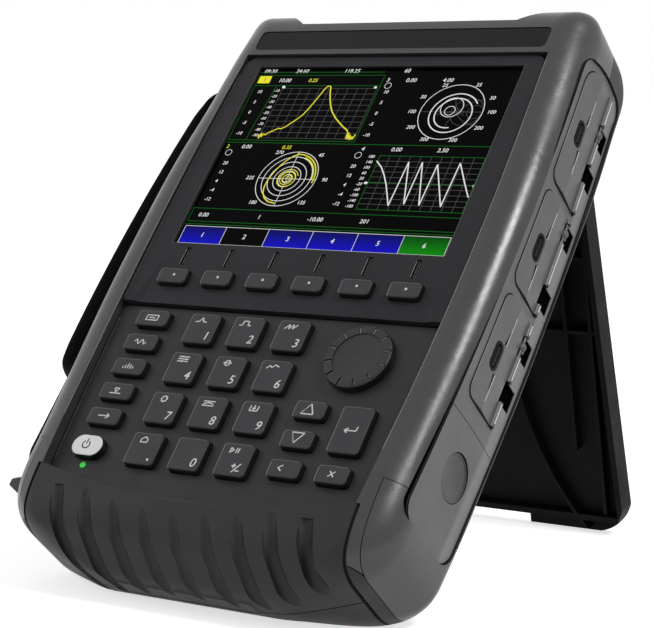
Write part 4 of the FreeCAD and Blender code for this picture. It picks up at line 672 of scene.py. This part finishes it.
for index, name in enumerate(("frame", "wave", "bars", "marker", "send")):
    key = "function_key_%d" % (index + 1)
    lines = mark(name, FUNCTION_AT[0], FUNCTION_AT[1] - FUNCTION_PITCH * index)
    dress(gather("mark_" + key, [lines]), ink, key)
for name, kind, u, v in (("up_key", "up", 36.1, -75.1), ("down_key", "down", 35.8, -88.2),
                         ("back_key", "back", 34.6, -101.8), ("escape_key", "cross", 57.6, -101.8),
                         ("enter_key", "return", 57.6, -82.0)):
    dress(gather("mark_" + name, [mark(kind, u, v)]), ink, name)
for index, u in enumerate(SOFT_KEYS):
    dot = line_work([ring(u + 0.8, SOFT_KEY_ROW, 0.3, steps=12)], 0.7, SOFT_KEY_TOP + INK_LIFT, True)
    dress(gather("mark_soft_key_%d" % (index + 1), [dot]), ink, "soft_key_%d" % (index + 1))
power_stroke = [(POWER_AT[0] + 0.2, POWER_AT[1] + 2.7), (POWER_AT[0], POWER_AT[1] + 0.2)]
power_mark = line_work([ring(*POWER_AT, 1.75, 125, 415, 24), power_stroke], 0.55, POWER_TOP + INK_LIFT)
dress(gather("mark_power", [power_mark]), black_ink, "power_button")


# ---------------------------------------------------------------- finger pulls on the doors
def on_door(top, foot, w, out):
    """Place of a door's own plane: x toward the case back, y up the door, z out of the side."""
    middle = (top + foot) / 2
    lift = middle - BOW_CENTRE
    face = SIDE_FACE - lift * lift / (2 * SIDE_BOW)
    tip = Matrix.Rotation(math.asin(lift / SIDE_BOW), 4, "Z")
    return Matrix.Translation((face + out, middle, w)) @ tip @ Matrix.Rotation(math.pi / 2, 4, "Y")


def select_faces(piece, wanted):
    """Leaves the piece in edit mode with the faces of one kind selected."""
    pick(piece)
    bpy.ops.object.mode_set(mode="EDIT")
    bpy.ops.mesh.select_all(action="DESELECT")
    bpy.ops.object.mode_set(mode="OBJECT")
    for face in piece.data.polygons:
        face.select = wanted(face)
    bpy.ops.object.mode_set(mode="EDIT")
    bpy.ops.mesh.select_mode(type="FACE")


PULL_RADIUS, PULL_STRETCH, PULL_SINK = 2.75, 3.5, 0.3
PULL_STEPS = ((0.35, 0.2), (0.55, 0.0), (0.25, -1.0), (0.3, 0.0), (0.3, 0.75))
RIB_RADIUS, RIB_PITCH, RIB_LEVEL = 0.3, 0.95, 0.68


def finger_pull(number, top, foot):
    """A black rubber grip: a raised oval rim round a tongue with ribs across it. Its face is made by
    PULL_STEPS, each an inset and a rise."""
    bpy.ops.object.select_all(action="DESELECT")
    bpy.ops.mesh.primitive_cylinder_add(vertices=40, radius=PULL_RADIUS, depth=1.4)
    grip = bpy.context.object
    for corner in grip.data.vertices:
        corner.co.y += math.copysign(PULL_STRETCH, corner.co.y) if abs(corner.co.y) > 1e-6 else 0.0
    select_faces(grip, lambda face: face.normal.z > 0.9)
    for thickness, rise in PULL_STEPS:
        bpy.ops.mesh.inset(thickness=thickness)
        bpy.ops.transform.translate(value=(0, 0, rise))
    bpy.ops.object.mode_set(mode="OBJECT")
    ribs = []
    for step in range(-4, 5):
        bpy.ops.object.select_all(action="DESELECT")
        bpy.ops.mesh.primitive_cylinder_add(vertices=10, radius=RIB_RADIUS, depth=1.5,
                                            location=(0.1, step * RIB_PITCH, RIB_LEVEL),
                                            rotation=(0, math.pi / 2, 0))
        ribs.append(bpy.context.object)
    place = on_door(top, foot - 3.2, DOOR_PULL, -PULL_SINK)
    grip = set_in(grip, place)
    pick(grip)
    bpy.ops.object.shade_smooth_by_angle(angle=math.radians(35))
    door = "port_door_%d" % number
    dress(grip, pull_skin, door)
    pick(*ribs)
    bpy.ops.object.transform_apply(location=True, rotation=True, scale=True)
    dress(set_in(gather("door_pull_ribs_%d" % number, ribs), place), rib_skin, door)
    grip.name = grip.data.name = "door_pull_%d" % number


def crease_line(number, top, foot):
    """Thin painted highlight along the crease of a door, with dark wedges of painted shade beside it above
    and below the pull.
    """
    rise, pull_foot, pull_top, slope = 18.5, -8.2, 5.0, 0.075
    place = on_door(top, foot, DOOR_CREASE, DOOR_CROWN + 0.1)
    # painted highlight along the crease
    line = line_work([[(0, -rise - 1.6), (0, pull_foot)], [(0, pull_top), (0, rise)]], 0.46, 0.0, flat=0.3)
    dress(set_in(line, place), gleam, "port_door_%d" % number)
    line.name = line.data.name = "door_crease_%d" % number
    # painted shade: dark wedges beside the crease line above and below the pull
    nick = line_work([[(-1.1, y), (-0.5, y + 0.5 * step), (-0.2, y + step)]
                      for y, step in ((pull_foot, -7.0), (pull_top + 0.2, 6.0))], 0.8, 0.0, flat=0.1)
    for corner in nick.data.vertices:
        corner.co.z += slope * corner.co.x
    dress(set_in(nick, place), painted_slot_shade, "port_door_%d" % number)
    nick.name = nick.data.name = "door_nick_%d" % number


def bead_line(number, top, foot, runs):
    """Light caught along the round bead of a door, between its hinge notches."""
    middle = (top + foot) / 2
    line = line_work([[(0, low - middle), (0, high - middle)] for low, high in runs], 0.95, 0.0, flat=0.3)
    place = on_door(top, foot, DOOR_HINGE + 0.35, BEAD_CROWN)
    dress(set_in(line, place), gleam, "port_door_%d" % number)
    line.name = line.data.name = "door_bead_%d" % number


BEAD_CROWN = 1.5
BEAD_RUNS = (((52.6, 66.0), (77.2, 87.0), (98.2, 111.0)),
             ((1.2, 4.0), (15.2, 35.0), (46.0, 46.2)),
             ((-51.8, -42.8), (-31.6, -21.2), (-10.0, -5.6)))
for (number, top, foot), runs in zip(DOORS, BEAD_RUNS):
    finger_pull(number, top, foot)
    crease_line(number, top, foot)
    bead_line(number, top, foot, runs)


def side_point(v, w, out=0.0):
    """A point on the bowed side face."""
    return (SIDE_FACE - (v - BOW_CENTRE) ** 2 / (2 * SIDE_BOW) + out, v, w)


def through(a, b, c, steps=14):
    """Points along the circle through three points of the side face, each (v, w)."""
    a, b, c = Vector(a), Vector(b), Vector(c)
    ab, cb = a - b, c - b
    turn = 2 * (ab.x * cb.y - ab.y * cb.x)
    centre = b + Vector((cb.y * ab.length_squared - ab.y * cb.length_squared,
                         ab.x * cb.length_squared - cb.x * ab.length_squared)) / turn
    start = math.atan2(a.y - centre.y, a.x - centre.x)
    sweep = (math.atan2(c.y - centre.y, c.x - centre.x) - start) % (2 * math.pi)
    mid = (math.atan2(b.y - centre.y, b.x - centre.x) - start) % (2 * math.pi)
    if mid > sweep:
        sweep -= 2 * math.pi
    radius = (a - centre).length
    return [(centre.x + radius * math.cos(start + sweep * i / steps),
             centre.y + radius * math.sin(start + sweep * i / steps)) for i in range(steps + 1)]


def round_wire(name, lines, width, finish, body="case"):
    """Round wires along lines whose points each have their own height."""
    wire = line_work(lines, width, 0.0, flat=1)
    wire.name = wire.data.name = name
    dress(wire, finish, body)


# the side panel's outline, three points (v, w) to an arc; its front half lies on the guard's edge
INLAY_CORNERS = ((-103.2, -3.8), (0.0, -6.3), (105.1, -6.7), (111.1, -8.9), (114.7, -15.0),
                 (117.3, -25.0), (117.1, -36.1), (114.7, -42.6), (106.0, -44.6), (0.0, -45.7),
                 (-102.0, -45.3), (-109.6, -42.9), (-112.2, -36.0), (-112.7, -26.0), (-111.2, -12.0),
                 (-108.9, -5.7), (-103.2, -3.8))
outline = []
for i in range(0, len(INLAY_CORNERS) - 2, 2):
    outline += through(*INLAY_CORNERS[i:i + 3])[:-1]
seams = [[side_point(v, w + (0.25 if w > SEAM_FRONT else 0.0), 0.4 if w > SEAM_FRONT else -0.1)
          for v, w in outline + outline[:1]]]
DOOR_GAP, ROUND_FOOT, ROUND_TOPS = 0.2, 5.0, (11.0, 5.0, 5.0)
ROUND_CUT = 0.2929
for (number, top, foot), high in zip(DOORS, ROUND_TOPS):
    top, foot, front, rear = top + DOOR_GAP, foot - DOOR_GAP, DOOR_FRONT + DOOR_GAP, DOOR_HINGE - 1.5
    low = ROUND_FOOT
    edge = [(foot, rear), (foot, front - low)]
    edge += through((foot, front - low), (foot + ROUND_CUT * low, front - ROUND_CUT * low),
                    (foot + low, front), 8)
    edge += through((top - high, front), (top - ROUND_CUT * high, front - ROUND_CUT * high),
                    (top, front - high), 10)
    edge += [(top, rear)]
    seams.append([side_point(v, w) for v, w in edge])
    # painted highlight along the front bevel of each door
    round_wire("door_rim_%d" % number,
               [[side_point(v, front - 0.75, 0.04) for v in (foot + low, (foot + top) / 2, top - high)]],
               0.3, painted_highlight, "port_door_%d" % number)
# painted shade: black wires laid in the seams round the side panel and the doors
round_wire("side_seams", seams, 0.7, painted_slot_shade)


# ---------------------------------------------------------------- thin edges and slots
def panel_half(v):
    """Half width of the front panels at a height."""
    (top, a), (middle, b), (foot, c) = (105.5, 75.5), (-10.0, 78.0), (-113.3, 74.0)
    return (a * (v - middle) * (v - foot) / ((top - middle) * (top - foot))
            + b * (v - top) * (v - foot) / ((middle - top) * (middle - foot))
            + c * (v - top) * (v - middle) / ((foot - top) * (foot - middle)))


# height of the guard's lip at heights up the case
GUARD_LIP = ((102, 2.0), (80, 2.25), (60, 2.23), (40, 2.12), (20, 2.04), (-10, 1.97), (-30, 2.03),
             (-50, 2.12), (-70, 2.4), (-90, 2.88))


def both_sides(inset, *runs):
    """Lines up both edges of the front panels, each run a list of (height, lift)."""
    return [[(side_of * (panel_half(v) - inset), v, w) for v, w in run]
            for side_of in (-1, 1) for run in runs]


def level_run(heights, lift):
    return [(v, lift) for v in heights]


# painted highlight on the rounded inner rim of the guard
round_wire("guard_lip", both_sides(-0.15, GUARD_LIP), 0.26, painted_highlight)
# painted highlight, dimmer, along the edges of the front panels
brinks = both_sides(0.62, level_run(range(-108, -33, 5), -2.0), level_run(range(-30, 100, 5), BEZEL_FRONT))
round_wire("panel_brink", brinks, 0.2, painted_highlight_dim)
# painted shade: black wires down the grooves between the front panels and the guard
grooves = both_sides(0.24, level_run(range(-110, -33, 7), -1.9), level_run(range(-30, 104, 6), 0.9))
round_wire("panel_grooves", grooves, 0.46, painted_slot_shade)
BOOT_HALF, BOOT_FOOT, BOOT_RISE = 74.0, -121.8, 8.5
# painted highlight along the boot's rounded top lip
brow = [(u, BOOT_FOOT + BOOT_RISE * (u / BOOT_HALF) ** 2 - 0.1, 2.35 + 0.55 * (u / BOOT_HALF) ** 2)
        for u in range(-72, 73, 6)]
round_wire("boot_brow", [brow], 0.3, painted_highlight_dim)
WINDOW_HALF, WINDOW_FOOT, WINDOW_TOP = 66.5, -0.1, 99.6
# painted highlight round the edge of the display window
brim = box_line(-WINDOW_HALF, WINDOW_HALF, WINDOW_FOOT, WINDOW_TOP) + [(-WINDOW_HALF, WINDOW_FOOT)]
brim = line_work([brim], 0.2, BEZEL_FRONT + 0.02, flat=0.3)
brim.name = brim.data.name = "window_brim"
dress(brim, painted_highlight_dim, "case")

# pointer slots under the soft keys: a black patch of painted shade on each floor, painted highlights along
# two lines in it and down its left edge
POINTER_FOOT, POINTER_TOP = -11.0, -2.6
floors, ribs, bright = [], [], []
for u in SOFT_KEYS:
    floors.append(patch(u - 1.3, u + 1.3, POINTER_FOOT, POINTER_TOP, 0.13, 0.6))
    ribs += [[(u + x, POINTER_FOOT, 0.2), (u + x, POINTER_TOP, 0.2)] for x in (-0.1, 0.75)]
    bright.append([(u - 1.35, POINTER_FOOT, 0.5), (u - 1.35, POINTER_TOP + 0.2, 0.5)])
dress(gather("pointer_floors", floors), painted_slot_shade, "case")
round_wire("pointer_ribs", ribs, 0.26, painted_highlight_dim)
round_wire("pointer_edges", bright, 0.3, painted_highlight)

# painted highlight: pale bars along the knob's rim notches
KNOB_NOTCHES, NOTCH_REACH, NOTCH_SIDE, NOTCH_LEVEL = 12, (10.9, 13.4), 0.28, 1.38
knob_lines = []
for index in range(KNOB_NOTCHES):
    a = math.radians(15 + 360 / KNOB_NOTCHES * index)
    knob_lines.append([(KNOB_AT[0] + r * math.cos(a) - NOTCH_SIDE * math.sin(a),
                        KNOB_AT[1] + r * math.sin(a) + NOTCH_SIDE * math.cos(a), NOTCH_LEVEL)
                       for r in NOTCH_REACH])
round_wire("knob_notch_edges", knob_lines, 0.5, painted_highlight, "tuning_knob")


# ---------------------------------------------------------------- hand strap
STRAP_TOP, STRAP_FOOT, STRAP_REACH, STRAP_CURVE = 99.5, -63.5, -110.0, 860.0
STRAP_MIDDLE, STRAP_HALF, STRAP_CORNER, STRAP_THICK = -29.0, 17.0, 9.0, 5.0
RIM_STEPS, BOW_STEPS, CORNER_STEPS = 24, 30, 6


def strap_line():
    """Middle line of the band: out of the case, round a soft corner, along the bow and back in."""
    centre = STRAP_CURVE + STRAP_REACH + STRAP_THICK / 2

    def bow(v):
        return centre - math.sqrt(STRAP_CURVE ** 2 - (v - BOW_CENTRE) ** 2)

    points = []
    for end, sign in ((STRAP_FOOT, -1), (STRAP_TOP, 1)):
        level = end - sign * STRAP_THICK / 2
        outer = bow(level)
        inner = -(SIDE_FACE + 1.6 - (level - BOW_CENTRE) ** 2 / (2 * SIDE_BOW))
        run = [(inner, level)]
        for i in range(CORNER_STEPS + 1):
            a = math.radians(90 * i / CORNER_STEPS)
            run.append((outer + STRAP_CORNER * (1 - math.sin(a)),
                        level - sign * STRAP_CORNER * (1 - math.cos(a))))
        points.append(run)
    foot, top = points
    low, high = foot[-1][1], top[-1][1]
    heights = [low + (high - low) * i / BOW_STEPS for i in range(1, BOW_STEPS)]
    return foot + [(bow(v), v) for v in heights] + top[::-1]


def hand_strap():
    """Padded band: full in the middle, thin bound edges with stitching, and flat tabs at its ends."""
    line = [Vector((u, v, 0)) for u, v in strap_line()]
    count = len(line)
    rim = []
    for i in range(RIM_STEPS):
        a = 2 * math.pi * i / RIM_STEPS
        x = math.copysign(abs(math.cos(a)) ** 0.55, math.cos(a))
        y = math.copysign(abs(math.sin(a)) ** 0.75, math.sin(a))
        rim.append((x, y))
    bpy.ops.object.select_all(action="DESELECT")
    bpy.ops.mesh.primitive_grid_add(x_subdivisions=RIM_STEPS, y_subdivisions=count - 1, size=2)
    band = bpy.context.object
    mesh = band.data
    columns = RIM_STEPS + 1
    run = [0.0]
    for a, b in zip(line, line[1:]):
        run.append(run[-1] + (b - a).length)
    for index, corner in enumerate(mesh.vertices):
        i, j = index // columns, index % columns
        here, before, after = line[i], line[max(i - 1, 0)], line[min(i + 1, count - 1)]
        ahead = (after - before).normalized()
        outward = Vector((-ahead.y, ahead.x, 0))
        x, y = rim[j % RIM_STEPS]
        end = min(1.0, min(i, count - 1 - i) / 6.0)
        full = 1.1 + 1.5 * math.sin(0.5 * math.pi * end)
        pillow = full * (1 - 0.55 * abs(x) ** 6)
        sag = 0.12 * math.sin(run[i] / 5.3) * (1 - abs(x))
        corner.co = (here + outward * (y * pillow + sag)
                     + Vector((0, 0, STRAP_MIDDLE + x * (STRAP_HALF - 0.6))))
    for loop_of in mesh.loops:
        i, j = loop_of.vertex_index // columns, loop_of.vertex_index % columns
        mesh.uv_layers[0].data[loop_of.index].uv = (run[i] / run[-1], j / RIM_STEPS)
    pick(band)
    bpy.ops.object.mode_set(mode="EDIT")
    bpy.ops.mesh.select_all(action="SELECT")
    bpy.ops.mesh.remove_doubles(threshold=0.01)
    bpy.ops.mesh.select_all(action="DESELECT")
    bpy.ops.mesh.select_mode(type="EDGE")
    bpy.ops.mesh.select_non_manifold()
    bpy.ops.mesh.edge_face_add()
    bpy.ops.mesh.select_all(action="SELECT")
    bpy.ops.mesh.normals_make_consistent(inside=False)
    bpy.ops.object.mode_set(mode="OBJECT")
    puff = band.modifiers.new("puff", "SUBSURF")
    puff.levels = puff.render_levels = 1
    bpy.ops.object.modifier_apply(modifier="puff")
    bpy.ops.object.shade_smooth()
    band.name = "hand_strap_padded"
    dress(band, webbing, "case")
    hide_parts("hand_strap")
    return line


def strap_stitches(line):
    """Two rows of short stitches on the outer face, just inside the bound edges."""
    stitches = []
    from_edge, stitch_pitch = 4.2, 3.2
    for side_of in (-1, 1):
        w = STRAP_MIDDLE + side_of * (STRAP_HALF - from_edge)
        for i in range(8, len(line) - 9):
            here, after = line[i], line[i + 1]
            step = after - here
            pieces = max(1, round(step.length / stitch_pitch))
            for k in range(pieces):
                middle = here + step * ((k + 0.5) / pieces)
                bpy.ops.object.select_all(action="DESELECT")
                bpy.ops.mesh.primitive_uv_sphere_add(segments=8, ring_count=6, radius=1,
                                                     location=(middle.x - 2.42, middle.y, w))
                stitch = bpy.context.object
                stitch.scale = (0.28, 0.95, 0.3)
                stitch.rotation_euler = (0, 0, math.atan2(-step.x, step.y))
                stitches.append(stitch)
    row = gather("strap_stitches", stitches)
    pick(row)
    bpy.ops.object.transform_apply(location=True, rotation=True, scale=True)
    bpy.ops.object.shade_smooth()
    dress(row, lug, "case")


strap_stitches(hand_strap())


# ---------------------------------------------------------------- stage
def stage():
    bpy.ops.object.select_all(action="DESELECT")
    bpy.ops.mesh.primitive_plane_add(size=30, location=(0, 6, 0))
    floor = bpy.context.object
    floor.name = "floor"
    pale = Finish("floor_pale", Roughness=0.9)
    pale.colour(pale.ramp(pale.noise(400.0), tint(236), tint(240)))
    path = pale.add("ShaderNodeLightPath")
    seen = pale.math("ADD", path.outputs["Is Camera Ray"], path.outputs["Is Glossy Ray"], True)
    pale.link(pale.math("MULTIPLY", seen, 0.66), pale.shader.inputs["Emission Strength"])
    pale.shader.inputs["Emission Color"].default_value = (1, 1, 1, 1)
    floor.data.materials.append(pale.made)

    world = bpy.data.worlds.new("studio")
    bpy.context.scene.world = world
    world.use_nodes = True
    tree = world.node_tree
    sky = tree.nodes["Background"]
    path = tree.nodes.new("ShaderNodeLightPath")
    level = tree.nodes.new("ShaderNodeMapRange")
    level.inputs["To Min"].default_value, level.inputs["To Max"].default_value = 0.42, 1.0
    count = path.outputs["Is Camera Ray"]
    for kind in ("Is Glossy Ray", "Is Transmission Ray"):
        seen = tree.nodes.new("ShaderNodeMath")
        seen.operation, seen.use_clamp = "ADD", True
        tree.links.new(count, seen.inputs[0])
        tree.links.new(path.outputs[kind], seen.inputs[1])
        count = seen.outputs[0]
    tree.links.new(count, level.inputs["Value"])
    tree.links.new(level.outputs["Result"], sky.inputs["Strength"])
    sky.inputs["Color"].default_value = (1, 1, 1, 1)


def softbox(name, place, aim, size, power):
    bpy.ops.object.select_all(action="DESELECT")
    bpy.ops.object.light_add(type="AREA", location=place)
    lamp_box = bpy.context.object
    lamp_box.name = name
    lamp_box.data.shape, lamp_box.data.size, lamp_box.data.energy = "SQUARE", size, power
    lamp_box.rotation_euler = (Vector(aim) - Vector(place)).to_track_quat("-Z", "Y").to_euler()


stage()
softbox("softbox_above_right", (1.05, -0.05, 1.25), (0, 0, 0.1), 0.4, 13.0)
softbox("softbox_left", (-1.5, -0.9, 0.9), (0, 0, 0.1), 1.0, 3.5)

bpy.ops.object.camera_add(location=(0.45538, -0.62656, 0.19612))
camera = bpy.context.object
camera.data.lens = 111.52
turned = Matrix(((0.838906, -0.061042, 0.540842), (0.544263, 0.087059, -0.834385),
                 (0.003847, 0.994331, 0.106257)))
camera.rotation_euler = turned.to_euler()
camera.data.clip_start, camera.data.clip_end = 0.02, 60
scene = bpy.context.scene
scene.camera = camera
scene.view_settings.view_transform = "Standard"


def plain(box):
    return [[round(c, 6) for c in corner] for corner in box]
